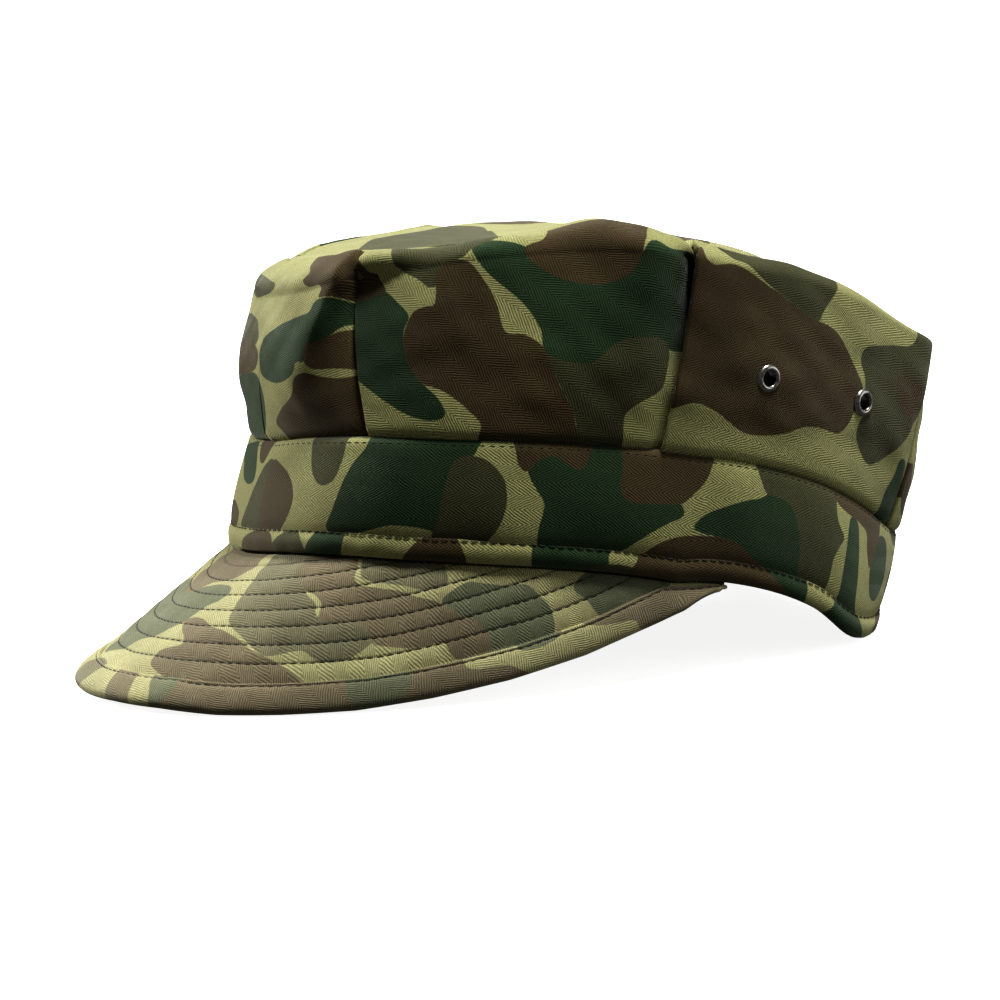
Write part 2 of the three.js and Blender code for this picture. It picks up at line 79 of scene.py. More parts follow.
# x, y, height on the left and right, swell of the wall, radius of the roll, for each station
RIM = [
    (0, -85, 120.0, 120.0, 4.0, 10), (19, -84, 122.0, 119.0, 4.0, 10), (34, -76, 123.5, 119.0, 2.5, 8),
    (50, -59, 124.5, 120.5, 2.0, 6), (64, -38, 126.5, 121.5, 2.0, 6), (75, -17, 129.5, 122.5, 2.5, 9),
    (84, 3, 124.0, 120.5, 1.5, 6), (85, 24, 117.5, 116.0, 1.0, 5), (81, 45, 112.2, 110.0, 1.0, 5),
    (73, 69, 102.5, 100.5, 1.5, 5), (59, 95, 86.8, 86.0, 2.0, 3), (38, 105, 86.5, 87.0, 3.0, 6),
    (19, 109, 87.5, 87.5, 3.5, 6), (0, 110, 88.0, 88.0, 3.5, 6),
]


def smooth_between(t, a, b, c, d):
    """A smooth curve from b to c, as t goes from 0 to 1, with a before them and d after them."""
    return b + 0.5 * t * (c - a + t * (2 * a - 5 * b + 4 * c - d + t * (3 * b - a - 3 * c + d)))


def round_the_cap(table, left, right=None):
    """A smooth closed curve through one column of a table, and another column on the wearer's right."""
    right = left if right is None else right
    values = np.array([table[s][left] if s <= STATIONS_HALF else table[STATIONS_ROUND - s][right]
                       for s in range(STATIONS_ROUND)], float)

    def at(station):
        index = np.floor(station).astype(int)
        return smooth_between(station - index, *(values[(index + k) % STATIONS_ROUND] for k in (-1, 0, 1, 2)))
    return at


bottom_height = round_the_cap(BAND_HEIGHTS, 0, 1)
seam_height = round_the_cap(BAND_HEIGHTS, 2, 3)
rim_x = round_the_cap(RIM, 0)
rim_y = round_the_cap(RIM, 1)
rim_height = round_the_cap(RIM, 2, 3)
rim_swell = round_the_cap(RIM, 4)
rim_roll = round_the_cap(RIM, 5)
print("rim height at the front", float(rim_height(np.array([0.0]))[0]), "mm")


# %% Points on the band and on the crown's wall, in millimetres
def points(x, y, z):
    return np.stack(np.broadcast_arrays(x, y, z), -1).astype(float)


def unit(v):
    return v / np.maximum(np.linalg.norm(v, axis=-1, keepdims=True), 1e-12)


def smoothstep(share):
    share = np.clip(share, 0, 1)
    return share * share * (3 - 2 * share)


def side_of(station):
    """+1 on the wearer's left, -1 on the right."""
    return np.where(np.mod(station, STATIONS_ROUND) > STATIONS_HALF, -1.0, 1.0)


def plan_point(plan, station, height):
    angle = station * STATION_ANGLE
    sine, cosine = np.sin(angle), np.cos(angle)
    square = np.where(cosine > 0, plan["square_front"], plan["square_back"])
    x = np.sign(sine) * plan["half_width"] * np.abs(sine) ** (2 / square)
    reach = np.where(cosine > 0, -plan["front"], plan["back"]) * np.abs(cosine) ** (2 / square)
    return points(x, plan["middle_y"] + reach - FOOTPRINT_Y, height)


def bottom_line(station):
    return plan_point(BOTTOM_PLAN, station, bottom_height(station))


def seam_line(station):
    return plan_point(SEAM_PLAN, station, seam_height(station))


def rim_line(station):
    x = rim_x(station) * side_of(station)
    return points(x, rim_y(station) - FOOTPRINT_Y, rim_height(station))


def normal_of(surface, station, up, step=0.02):
    along = surface(station + step, up) - surface(station - step, up)
    rising = surface(station, up + step) - surface(station, up - step)
    return unit(np.cross(along, rising))


BAND_SWELL = 1.2


def band_line(station, up):
    """The band from its bottom edge (0) to the crown seam (1)."""
    up = np.asarray(up, float)
    at = bottom_line(station) * (1 - up[..., None]) + seam_line(station) * up[..., None]
    out = unit(points(at[..., 0], at[..., 1] + FOOTPRINT_Y, 0))
    return at + out * (BAND_SWELL * np.sin(np.pi * up))[..., None]


def band_foot(station):
    """The band's lower edge, the way up the band from it, and the way out of the band."""
    foot = band_line(station, np.zeros_like(station))
    rise = unit(band_line(station, np.ones_like(station)) - foot)
    return foot, rise, normal_of(band_line, station, np.full_like(station, 0.02))


TOP_MIDDLE = (0, 14, 116.5)
SWELL_SPAN, ROLL_SPAN, ROLL_WIDE = 0.9, 0.9, 1.3


def wall_base(station, up):
    """The crown's wall without its pleats: 0 is the band seam, 1 the start of the roll, 2 the top seam."""
    up = np.asarray(up, float)
    seam, rim, roll = seam_line(station), rim_line(station), rim_roll(station)
    inward = unit(points(-rim[..., 0], -(rim[..., 1] + FOOTPRINT_Y - TOP_MIDDLE[1]), 0))
    roll_start = rim - points(0, 0, roll)
    wall = seam * (1 - up[..., None]) + roll_start * up[..., None]
    wall = wall - inward * (rim_swell(station) * np.sin(np.pi * up * SWELL_SPAN))[..., None]
    turn = (np.maximum(up, 1) - 1) * np.pi / 2 * ROLL_SPAN
    start = roll_start - inward * (rim_swell(station) * np.sin(np.pi * SWELL_SPAN))[..., None]
    over = start + points(0, 0, roll * np.sin(turn))
    over = over + inward * (roll * ROLL_WIDE * (1 - np.cos(turn)))[..., None]
    return np.where(up[..., None] <= 1, wall, over)


print("front seam to rim", np.round(wall_base(np.array([0.0]), np.array([0.0]))[0], 1),
      np.round(wall_base(np.array([0.0]), np.array([2.0]))[0], 1))


# %% [markdown]
# ## Cloth from a flat grid
# Every sheet starts as Blender's flat grid, which is the cloth on the cutting table. Its columns
# and rows are then moved to their places on the cap, and the flat lengths are kept as the UV map, so
# that weave and print lie on the piece as they do on cloth. Solidify gives the sheet its
# thickness. A cloth simulation would drop the soft crown in folds of its own choosing, and the
# folds here are sewn ones at known places, so each point of the grid is given its place.

# %% Helpers for laying a grid
def only(piece):
    bpy.ops.object.select_all(action="DESELECT")
    piece.select_set(True)
    bpy.context.view_layer.objects.active = piece


def lay_cloth(name, place_mm, face, reverse):
    """A grid laid at place_mm[column, row] with its two materials, and each vertex's column and row."""
    columns, rows = place_mm.shape[:2]
    bpy.ops.object.select_all(action="DESELECT")
    bpy.ops.mesh.primitive_grid_add(x_subdivisions=columns - 1, y_subdivisions=rows - 1, size=2)
    piece = bpy.context.object
    piece.name = piece.data.name = name
    flat = np.zeros(len(piece.data.vertices) * 3)
    piece.data.vertices.foreach_get("co", flat)
    flat = flat.reshape(-1, 3)
    column = np.rint((flat[:, 0] + 1) / 2 * (columns - 1)).astype(int)
    row = np.rint((flat[:, 1] + 1) / 2 * (rows - 1)).astype(int)
    piece.data.vertices.foreach_set("co", (place_mm[column, row] * MM).astype(np.float32).ravel())
    piece.data.update()
    piece.data.materials.append(face)
    piece.data.materials.append(reverse)
    return piece, column, row


def write_corners(piece, column, row, name, values):
    """Keeps values[column, row] on the face corners: a pair as the UV map, a number as an attribute."""
    loops = np.zeros(len(piece.data.loops), int)
    piece.data.loops.foreach_get("vertex_index", loops)
    found = values[column[loops], row[loops]]
    if name == "UVMap":
        piece.data.uv_layers[0].data.foreach_set("uv", found.astype(np.float32).ravel())
    else:
        layer = piece.data.attributes.new(name, "FLOAT", "CORNER")
        layer.data.foreach_set("value", found.astype(np.float32).ravel())


SAME_PLACE = 0.00001


def close_up(piece, fill_ends):
    """Joins the edges that meet, fills the open ends if asked, and turns the faces outwards."""
    only(piece)
    bpy.ops.object.mode_set(mode="EDIT")
    bpy.ops.mesh.select_all(action="SELECT")
    bpy.ops.mesh.remove_doubles(threshold=SAME_PLACE)
    if fill_ends:
        bpy.ops.mesh.select_all(action="DESELECT")
        bpy.ops.mesh.select_non_manifold()
        bpy.ops.mesh.edge_face_add()
        bpy.ops.mesh.select_all(action="SELECT")
    bpy.ops.mesh.normals_make_consistent(inside=False)
    bpy.ops.object.mode_set(mode="OBJECT")


def thicken(piece, thick_mm):
    """Gives a sheet its thickness, inwards from the face that shows."""
    only(piece)
    wall = piece.modifiers.new("Solidify", "SOLIDIFY")
    wall.thickness = thick_mm * MM
    wall.offset = -1
    wall.material_offset = 1
    wall.material_offset_rim = 0
    bpy.ops.object.modifier_apply(modifier=wall.name)


def finish_cloth(piece, node, thick_mm=None):
    """Closes a sheet and puts it in its solid's place. One that is laid with both faces has no thick_mm."""
    close_up(piece, fill_ends=thick_mm is None)
    if thick_mm is not None:
        thicken(piece, thick_mm)
    only(piece)
    bpy.ops.object.shade_smooth()
    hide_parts(node)
    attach(piece, "root")
    print(piece.name, len(piece.data.polygons), "faces")


def grid_area(place_mm):
    """The area of a laid grid in square metres."""
    across = np.diff(place_mm, axis=0)[:, :-1]
    along = np.diff(place_mm, axis=1)[:-1]
    return float(np.linalg.norm(np.cross(across, along), axis=-1).sum()) * MM * MM


def lengths_along(place_mm, axis):
    """How far each vertex of a laid grid is from the first one, along its row or column."""
    step = np.linalg.norm(np.diff(place_mm, axis=axis), axis=-1)
    start = np.zeros_like(np.take(step, [0], axis=axis))
    return np.concatenate([start, np.cumsum(step, axis=axis)], axis=axis)


def waves(place_mm, size, seed, count=12):
    """Soft random waves of about that size in mm, between -1 and 1, the same in every run."""
    dice = np.random.default_rng(seed)
    total = np.zeros(place_mm.shape[:-1])
    for _ in range(count):
        way = unit(dice.normal(size=3))
        phase = dice.uniform(0, 2 * math.pi)
        pitch = size * dice.uniform(0.7, 1.6)
        total = total + np.sin(2 * math.pi * (place_mm @ way) / pitch + phase)
    return total / math.sqrt(count * 2)


# height and size in mm and the seed of the soft creases in each sheet
CREASES = dict(
    wall=[(0.45, 26, 11), (0.16, 10, 12)],
    top=[(0.6, 34, 21)],
    band=[(0.30, 24, 31)],
    hem=[(0.12, 7, 41), (0.15, 22, 42)],
    visor=[(0.22, 13, 51), (0.12, 6, 52)],
    binding=[(0.13, 7, 61), (0.12, 19, 62)],
    sewn_row=[(0.45, 45, 71)],
)


def creases(sheet, place_mm):
    """How far in mm the cloth of a sheet strays from its even shape."""
    return sum(height * waves(place_mm, size, seed) for height, size, seed in CREASES[sheet])


print("creases:", list(CREASES))


# %% [markdown]
# ## The camouflage print
# The cloth is khaki, printed with rounded patches of green, olive and brown. A printer charts such
# a pattern patch by patch, and so does this cell: each patch is a short closed outline in
# millimetres on the flat cloth, written down as a list of corners. What is kept on the cloth is how
# deep each point lies inside the nearest patch of an ink, so the material can draw a crisp edge at
# any size without an image.

# %% Charts of the crown's side, in mm from the middle of the front and up from the seam
FRONT_PANEL = [
    ("brown", [(10, 5), (14, 8), (20, 11), (22.5, 13), (24, 17), (28, 18.2), (33, 17), (39, 16.3), (50, 16),
        (50, -4), (20, -4), (13, 2)]),
    ("brown", [(28, 22), (29, 26), (34, 27.5), (40, 30.5), (50, 31.5), (50, 20), (38, 19.5), (31, 19.3)]),
    ("green", [(-2, 27), (6, 30), (14, 32.5), (22, 34), (29, 35), (31, 38), (36, 39), (41, 38.5), (50, 36.5),
        (50, 34.5), (41, 33), (37, 30), (34, 27), (30, 26), (28, 22), (24.5, 21.8), (23.5, 19), (20, 17),
        (14, 16.5), (7, 18), (1, 21)]),
    ("brown", [(14, 60), (18, 55), (21, 50), (24, 47.5), (22, 45), (26, 43), (31, 43.5), (33, 42),
        (32.5, 39.5), (36, 39.8), (41, 39.5), (50, 37.5), (50, 66), (36, 66), (25, 66)]),
    ("olive", [(-44, 46), (-34, 48), (-22, 49), (-12, 47.5), (-7, 46), (-11, 44), (-22, 42.5), (-34, 43)]),
    ("olive", [(-56, 40), (-34, 36.5), (-22, 37), (-14, 35.5), (-11, 33), (-9, 29), (-20, 26), (-34, 27),
        (-56, 30)]),
    ("brown", [(-36, 26), (-28, 29), (-20, 29.5), (-12, 28.5), (-5, 26), (-4, 23), (-9, 20.5), (-20, 19),
        (-30, 20)]),
    ("green", [(-17, 19), (-8, 19.5), (1, 16), (3, 11), (1, 4), (-3, 1), (-12, -4), (-56, -4), (-56, 12),
        (-36, 10), (-26, 16)]),
]
MIDDLE_PANEL = [
    ("green", [(40, 40), (46, 42), (50, 43), (53, 41), (56, 38), (59.5, 34), (58.5, 30), (59, 25),
        (60.5, 20), (65, 14.5), (69, 11), (71.5, 7), (70, 5.5), (66, 5.3), (60, 7), (55, 10), (50, 13.5),
        (46, 16.5), (40, 20)]),
    ("brown", [(40, 54), (47, 48.5), (50, 46), (52.5, 42), (50, 41), (46, 40), (40, 42)]),
    ("olive", [(50, 60), (53, 53), (56, 48), (61, 45), (65.5, 42), (66.5, 46.5), (70, 50), (72, 51),
        (74, 54), (79, 58), (80, 64), (50, 64)]),
    ("brown", [(66, 45), (68, 49), (71, 50), (74, 49), (78, 44), (80, 41), (82, 37), (85, 30), (90, 29.5),
        (95, 26.5), (98, 22), (100, 18), (104, 12), (106, 9), (108.5, 2), (109, -4), (83, -4), (82, 4),
        (78, 8), (75, 10.5), (70, 13.5), (65, 15), (62, 18), (60, 22), (59, 27), (59.5, 31), (61, 35),
        (64, 36.5), (66.5, 37), (66.5, 41)]),
    ("green", [(74, 55), (76, 50), (80, 45.5), (87, 40), (91, 36), (94.5, 31), (95.5, 27), (97, 24),
        (101, 22), (106, 21.5), (111, 23), (118, 29), (124, 30), (140, 30), (140, 56), (128, 55.5),
        (122, 57), (118, 53), (112, 47), (106, 45), (100, 45.5), (95, 47), (90, 50), (87, 54), (80, 56)]),
    ("brown", [(87, 54.5), (88, 51), (94, 47), (100, 45), (107, 44.5), (112, 46), (116, 48.5), (118, 52),
        (119, 56), (120.5, 60), (120.5, 70), (91, 70), (92, 61), (91, 57)]),
    ("olive", [(97, 24), (101, 22.5), (106, 22), (110, 23), (113, 26.5), (118, 30), (128, 31), (131, 28),
        (131, 22), (130, 17), (126, 14), (122, 11), (120.5, 8), (121, -4), (109, -4), (108, 5), (105, 11),
        (101, 17), (98, 22)]),
]
REAR_PANEL = [
    ("brown", [(125, 60), (135, 60), (139, 58), (141, 55), (145, 53), (152, 54), (160, 53), (168, 51),
        (174, 50), (180, 48), (187, 46.5), (193, 46.5), (197, 45.5), (200, 43), (204, 38), (207, 33),
        (208, 29), (206, 27.5), (203, 24), (201, 20.5), (197, 16.5), (193, 15.8), (187, 15.5), (181, 14),
        (176, 11.5), (170, 9.3), (163, 8), (158, 8.5), (153, 11), (148, 13.5), (143, 14.8), (139, 14),
        (134, 12), (125, 12)]),
    ("olive", [(150, 61), (153, 56), (160, 55), (168, 52), (175, 50), (182, 47.5), (189, 46.5), (191, 49),
        (194, 53), (197, 57), (200, 62), (203, 70), (180, 70), (165, 66)]),
    ("olive", [(208, 30), (208.5, 36), (207, 41), (209, 45), (214, 47), (220, 49), (226, 51), (230, 58),
        (238, 58), (240, 50), (235, 45), (233, 36), (230, 32), (228, 26), (225, 22), (221, 18), (216, 14),
        (211, 12), (207, 15), (205, 19), (207, 24), (211, 27), (210, 30)]),
    ("brown", [(221, 40), (225, 42), (230, 42), (234, 38), (231, 32), (228, 29), (224, 31), (222, 35)]),
    ("green", [(221, 1), (223, 8), (226, 13), (227, 18), (230, 18), (231, 14), (236, 6), (240, 2), (236, -4),
        (221, -4)]),
]
BACK_PANEL = [
    ("brown", [(233, 14), (236, 19), (240, 20), (246, 14), (250, 9), (250, 5), (243, 5), (237, 8)]),
    ("green", [(243, 34), (247, 44), (256, 50), (268, 49), (278, 40), (276, 30), (266, 24), (254, 25)]),
    ("olive", [(255, -4), (256, 7), (263, 14), (272, 13), (279, 6), (284, -4)]),
    ("brown", [(262, 66), (264, 57), (272, 53), (281, 57), (286, 66)]),
    ("green", [(228, 66), (229, 56), (236, 55), (241, 58), (243, 66)]),
    ("brown", [(276, 24), (281, 30), (289, 28), (292, 19), (286, 14), (279, 17)]),
]
print("crown patches:", sum(map(len, (FRONT_PANEL, MIDDLE_PANEL, REAR_PANEL, BACK_PANEL))))


# %% Charts of the band and of its hem, in mm from the middle of the front and up from the hem
BAND_CHART = [
    ("brown", [(9, 27), (15, 25.5), (20, 23), (23.5, 19.5), (25, 15.5), (24, 11), (21, 7), (15, 4), (8, 5),
        (7, 12), (8, 20)]),
    ("olive", [(4, 25.5), (9, 27), (10, 20), (9, 12), (10, 5), (-8, 5), (-4, 13), (0, 20)]),
    ("olive", [(27, 38), (28.5, 30), (31, 24), (34, 21), (37, 20), (40, 22), (41, 27), (41, 31), (40, 38)]),
    ("green", [(-28, 29), (-20, 31), (-10, 32), (-8, 30), (-4, 25), (-3, 21), (-8, 20), (-14, 22),
        (-19, 26)]),
    ("brown", [(-8, 38), (-4, 29), (0, 26), (3, 28), (6, 38)]),
    ("brown", [(-30, 12), (-20, 14), (-12, 11), (-14, 7), (-22, 5), (-30, 7)]),
    ("green", [(52, 40), (49, 31), (46, 27), (44, 22), (43, 17), (42, 12), (41, 8), (44, 6), (50, 6.8),
        (56, 8.5), (61, 10), (68, 10), (74, 9), (78, 7), (78, 27), (81, 31), (80, 40)]),
    ("olive", [(76, 28), (79, 30), (84, 29.5), (88, 27), (91, 23.5), (92.5, 18), (92, 12), (90, 8), (87, 5),
        (80, 4), (74, 6), (75, 12), (75, 20)]),
    ("brown", [(92, 40), (93, 31), (95, 27.5), (97, 27), (99, 30), (103, 31.5), (107, 30), (110, 28.3),
        (112, 29), (113, 33), (113, 40)]),
    ("green", [(97, 28), (99, 24), (103, 19), (103.5, 16), (103, 10), (104, 4), (105, -2), (123, -2),
        (123, 4), (127, 7), (130, 9.5), (134, 13), (139, 16.5), (143, 19), (141, 22), (136, 23), (131, 23),
        (124, 40), (113, 40), (112, 30), (110, 29), (106, 31), (103, 32), (99, 31)]),
    ("brown", [(124, 40), (123, 30), (123, 25), (125, 21.5), (129, 20.5), (134, 21), (139, 21.5), (142, 22),
        (146, 26), (149, 31), (149, 40)]),
    ("green", [(147, 16), (149, 19), (153, 21), (160, 24), (166, 26), (170, 29), (174, 29), (178, 26),
        (181, 20), (182, 10), (181, 4), (176, 2), (172, -1), (170, 3), (167, 6), (162, 9), (158, 11.5),
        (152, 13.5), (149, 14)]),
    ("olive", [(167, 40), (167, 29), (170, 28), (176, 27), (179, 22), (180, 15), (180, 6), (184, 5),
        (190, 3), (193, 8), (194, 12), (195, 17), (198, 22), (200, 25), (197, 28), (196, 33), (196, 40)]),
    ("brown", [(132, -2), (132, 4), (135, 8), (139, 11), (145, 13.3), (150, 13), (157, 12.5), (162, 9),
        (167, 6), (170, 4), (173, -2)]),
    ("green", [(194, -2), (198, 4), (200, 8), (201, 15), (202, 22), (204, 32), (208, 32), (209, 25),
        (209.5, 15), (210, 8), (215, 4), (220, -2)]),
    ("brown", [(195, 40), (197, 34), (203, 33), (208, 33), (214, 31), (215, 26), (217, 21), (219, 22),
        (223, 28), (224, 33), (223, 40)]),
    ("green", [(219, 24), (224, 30), (230, 28), (232, 18), (228, 12), (222, 12), (219, 16)]),
    ("olive", [(234, 40), (236, 30), (243, 27), (250, 31), (252, 40)]),
    ("brown", [(238, 14), (243, 21), (252, 22), (258, 15), (254, 7), (245, 5)]),
    ("green", [(260, 30), (266, 36), (276, 34), (282, 24), (278, 14), (268, 12), (262, 20)]),
    ("brown", [(264, -2), (265, 5), (272, 9), (280, 6), (283, -2)]),
]
HEM_CHART = [
    ("brown", [(-3, 1), (0, 4), (8, 6), (16, 5), (19, 1), (19, -4), (-3, -4)]),
    ("olive", [(18, 0), (22, 4.5), (28, 6), (31, 4), (34, -2), (24, -4)]),
    ("green", [(34, -3), (36, 4), (40, 8), (46, 8), (47, 4), (45, -3)]),
    ("brown", [(67, -3), (69, 4), (73, 7), (78, 8), (82, 5), (84, -3)]),
    ("green", [(105, -4), (104, 12), (123, 12), (123, 4), (123, -4)]),
    ("olive", [(116, -4), (121, 1.2), (131, 1.6), (133, -4)]),
    ("brown", [(132, -4), (132, 4), (135, 12), (162, 12), (167, 6), (172, 3), (176, -4)]),
    ("green", [(160, 14), (168, 5.5), (174, 1), (182, -4), (182, 14)]),
    ("green", [(193, -4), (198, 4), (200, 12), (210, 12), (215, 4), (221, -4)]),
    ("brown", [(232, -4), (234, 6), (243, 8), (251, 5), (252, -4)]),
    ("olive", [(262, 12), (264, -4), (282, -4), (280, 12)]),
]
print("band patches:", len(BAND_CHART), "hem patches:", len(HEM_CHART))


# %% Charts of the visor, in mm along its edge from the middle and in from the edge, and of the top
VISOR_CHART = [
    ("brown", [(-27, 52), (-22, 45), (-15, 42), (-8, 41), (-2, 44), (2, 48), (9, 50), (14, 52), (16.5, 56),
        (15, 60), (14, 70), (-20, 70), (-25, 58)]),
    ("green", [(-34, 38), (-30, 42), (-22, 43.5), (-12, 43), (-4, 43), (0, 45), (6, 47), (14, 47),
        (18.5, 45), (18.5, 41), (14.5, 38), (14, 34), (11, 29), (7, 25), (1, 22), (-3, 17), (-10, 14),
        (-16, 12), (-20, 18), (-28, 22), (-36, 26), (-38, 32)]),
    ("olive", [(20.5, 70), (22, 57), (27, 45), (30, 38), (33, 33), (38, 29.5), (45, 26), (52, 22),
        (58, 19.5), (66, 21), (70, 20), (75, 17), (82, 16), (86, 18), (88.5, 22), (84, 27), (76, 31),
        (70, 32), (64, 33), (60, 38), (54, 42), (48, 47), (42, 52), (38, 58), (37, 70)]),
    ("brown", [(38, 70), (40, 54), (45, 49), (50, 45), (56, 42.5), (62, 38.5), (64, 35), (66, 32), (70, 30),
        (78, 29), (85, 26), (89, 21), (95, 19), (103, 17), (112, 17), (116, 13), (120, 10), (128, 10),
        (127, 15), (121, 21), (112, 26), (104, 31), (96, 34.5), (88, 38), (80, 40.5), (72, 43), (68, 46),
        (65, 52), (61, 58), (56, 70)]),
    ("olive", [(62, 70), (65, 56), (69, 48), (73, 45), (82, 42), (90, 39.5), (97, 37), (103, 36), (104, 38),
        (101, 42), (99, 46), (94, 55), (84, 70)]),
    ("green", [(106, 31), (108, 33.5), (112, 35), (118, 33), (126, 30), (134, 28), (139, 24), (145, 18),
        (148, 12), (148, 8), (142, 7), (134, 8), (127, 9), (125, 15), (119, 21), (111, 26)]),
    ("brown", [(13, 32), (20, 33), (28, 30), (36, 28), (44, 25), (52, 21), (60, 18), (68, 14), (75, 9.5),
        (79, 7), (78, 5), (72, 4), (60, 4), (50, 5), (40, 7), (30, 10), (24, 12), (20, 14), (18, 18),
        (20, 20), (24, 22), (22, 25), (17, 28)]),
    ("green", [(153, 23), (158, 26), (164, 30), (176, 22), (190, 12), (180, 6), (170, 6), (164, 10),
        (158, 17), (154, 20)]),
    ("olive", [(-18, 5), (-13, 9.5), (-6, 10.5), (-2, 9), (-2, 4), (-12, 2)]),
    ("green", [(-64, 33), (-52, 37), (-45, 35), (-43, 26), (-43, 12), (-50, 3), (-66, 6)]),
    ("brown", [(-100, 28), (-92, 37), (-80, 38), (-70, 30), (-74, 20), (-86, 14), (-98, 18)]),
    ("olive", [(-62, 62), (-60, 50), (-68, 43), (-82, 44), (-90, 52), (-84, 64)]),
    ("brown", [(-40, 66), (-38, 52), (-44, 46), (-54, 50), (-56, 66)]),
    ("green", [(-146, 24), (-134, 33), (-118, 30), (-110, 18), (-120, 8), (-138, 6)]),
    ("olive", [(-170, 8), (-160, 20), (-152, 12), (-156, 2), (-166, -3)]),
]
BINDING_CHART = [
    ("olive", [(-16, 6), (-12, 9), (-6, 12), (-2, 12), (-1.5, 4), (-6, 0), (-12, -2), (-16, 2)]),
    ("brown", [(9, 13), (13, 13.5), (18, 12), (21.5, 7), (26, -3), (18, -3), (13, 4)]),
    ("green", [(26.5, 13), (32, 14), (38, 13), (39, 8), (39, 4), (41, -3), (36, -3), (32, 3), (28, 8)]),
    ("brown", [(38, 13), (56, 13), (72, 13), (84, 13), (88, 8), (90, 4), (92, -3), (41, -3), (38.5, 4)]),
    ("green", [(87, 13), (100, 13.5), (108, 12), (109.5, 8), (107, 3), (104, -3), (91, -3), (89, 5)]),
    ("brown", [(107, 13), (118, 13), (122, 8), (126, 5.5), (134, 5), (139, 3), (145, -3), (106, -3),
        (108, 4)]),
    ("green", [(139, 13), (150, 13), (150, 8.5), (144, 7.5), (138, 9)]),
    ("brown", [(160, 13), (178, 13), (192, 13), (202, 8), (204, 3), (200, -3), (184, -1), (178, 1), (176, 4),
        (168, 6), (162, 8), (158, 10)]),
    ("green", [(-58, 13), (-50, 14), (-42, 10), (-44, 2), (-52, -3), (-62, 2)]),
    ("brown", [(-112, -3), (-108, 6), (-98, 12), (-84, 13), (-78, 5), (-76, -3)]),
    ("olive", [(-168, 13), (-156, 14), (-150, 6), (-156, -2), (-168, -3)]),
    ("brown", [(-204, 10), (-190, 14), (-176, 8), (-182, -1), (-204, -3)]),
]
TOP_CHART = [
    ("olive", [(-45, 6), (-30, 12), (-10, 6), (10, -2), (30, -9), (42, -14), (50, -22), (46, -34), (24, -44),
        (0, -40), (-20, -32), (-35, -22), (-50, -10)]),
    ("brown", [(-70, 34), (-50, 44), (-30, 38), (-20, 26), (-34, 18), (-54, 20)]),
    ("brown", [(-14, 66), (0, 76), (26, 70), (46, 52), (66, 40), (74, 24), (62, 14), (44, 22), (22, 34),
        (0, 46)]),
    ("green", [(-60, 92), (-44, 100), (-24, 92), (-22, 76), (-40, 66), (-58, 74)]),
    ("olive", [(10, 118), (30, 112), (48, 96), (40, 84), (22, 88), (6, 102)]),
    ("brown", [(-36, 124), (-20, 118), (-12, 104), (-28, 104), (-42, 112)]),
    ("green", [(58, 84), (68, 76), (76, 58), (66, 54), (56, 66)]),
]
print("visor patches:", len(VISOR_CHART), "top patches:", len(TOP_CHART))


# %% How deep each point of a cloth lies inside its patches
INKS = ("green", "olive", "brown")
# how far from a patch's edge its depth is still kept, and how many points are measured at a time
INK_REACH = 3.0
POINTS_AT_ONCE = 20000


def rounded_outline(corners, pieces=4):
    """A smooth closed line through the corners of a patch."""
    p = np.array(corners, float)
    a, b, c, d = np.roll(p, 1, 0), p, np.roll(p, -1, 0), np.roll(p, -2, 0)
    steps = np.arange(pieces) / pieces
    return np.stack([smooth_between(t, a, b, c, d) for t in steps], 1).reshape(-1, 2)


def depth_inside(outline, at):
    """Distance in mm to a closed outline, positive inside it."""
    p, q = outline, np.roll(outline, -1, 0)
    d = q - p
    rel = at[:, None] - p[None]
    share = np.clip((rel * d).sum(-1) / np.maximum((d * d).sum(-1), 1e-9), 0, 1)
    away = np.linalg.norm(rel - share[..., None] * d, axis=-1).min(1)
    above = (p[None, :, 1] > at[:, None, 1]) != (q[None, :, 1] > at[:, None, 1])
    slope = np.where(np.abs(d[:, 1]) < 1e-9, 1e-9, d[:, 1])
    cross = p[None, :, 0] + (at[:, None, 1] - p[None, :, 1]) * d[None, :, 0] / slope
    inside = (above & (at[:, None, 0] < cross)).sum(1) % 2 == 1
    return np.where(inside, away, -away)


def printed(chart, s, t, where=None):
    """For each ink, the depth inside its patches at the points (s, t)."""
    flat = np.stack([s.ravel(), t.ravel()], -1)
    allowed = np.ones(len(flat), bool) if where is None else where.ravel()
    found = {ink: np.full(len(flat), -INK_REACH) for ink in INKS}
    for ink, corners in chart:
        outline = rounded_outline(corners)
        low, high = outline.min(0) - INK_REACH, outline.max(0) + INK_REACH
        near = np.nonzero(allowed & (flat > low).all(1) & (flat < high).all(1))[0]
        for part in np.array_split(near, max(1, len(near) // POINTS_AT_ONCE)):
            if len(part):
                depth = np.clip(depth_inside(outline, flat[part]), -INK_REACH, INK_REACH)
                found[ink][part] = np.maximum(found[ink][part], depth)
    return {ink: value.reshape(s.shape) for ink, value in found.items()}


def print_cloth(piece, column, row, depths):
    for ink in INKS:
        write_corners(piece, column, row, "ink_" + ink, depths[ink])


print("inks:", INKS)


# %% [markdown]
# ## Cloth materials
# The cloth is herringbone twill: fine slanting ribs whose slant turns round in every stripe, about
# four millimetres wide. The ribs come from the UV map in millimetres, with sine waves and no image;
# they lift the surface and darken the colour between them, partly as the yarns' own tone and partly
# as painted shade. The inks lie over each other in a fixed order, and each lower one spreads a
# little further, as on printed cotton.

# %% The weave and the print as material nodes
# the stripes' width and the ribs' pitch in mm, the ribs' slant, and how dark and light they make the colour:
# the yarns' own tone and painted shade in the grooves
STRIPE = 4.1
RIB_PITCH = 0.66
RIB_SLANT = math.radians(31)
RIB_SHADES = (0.54, 1.28)
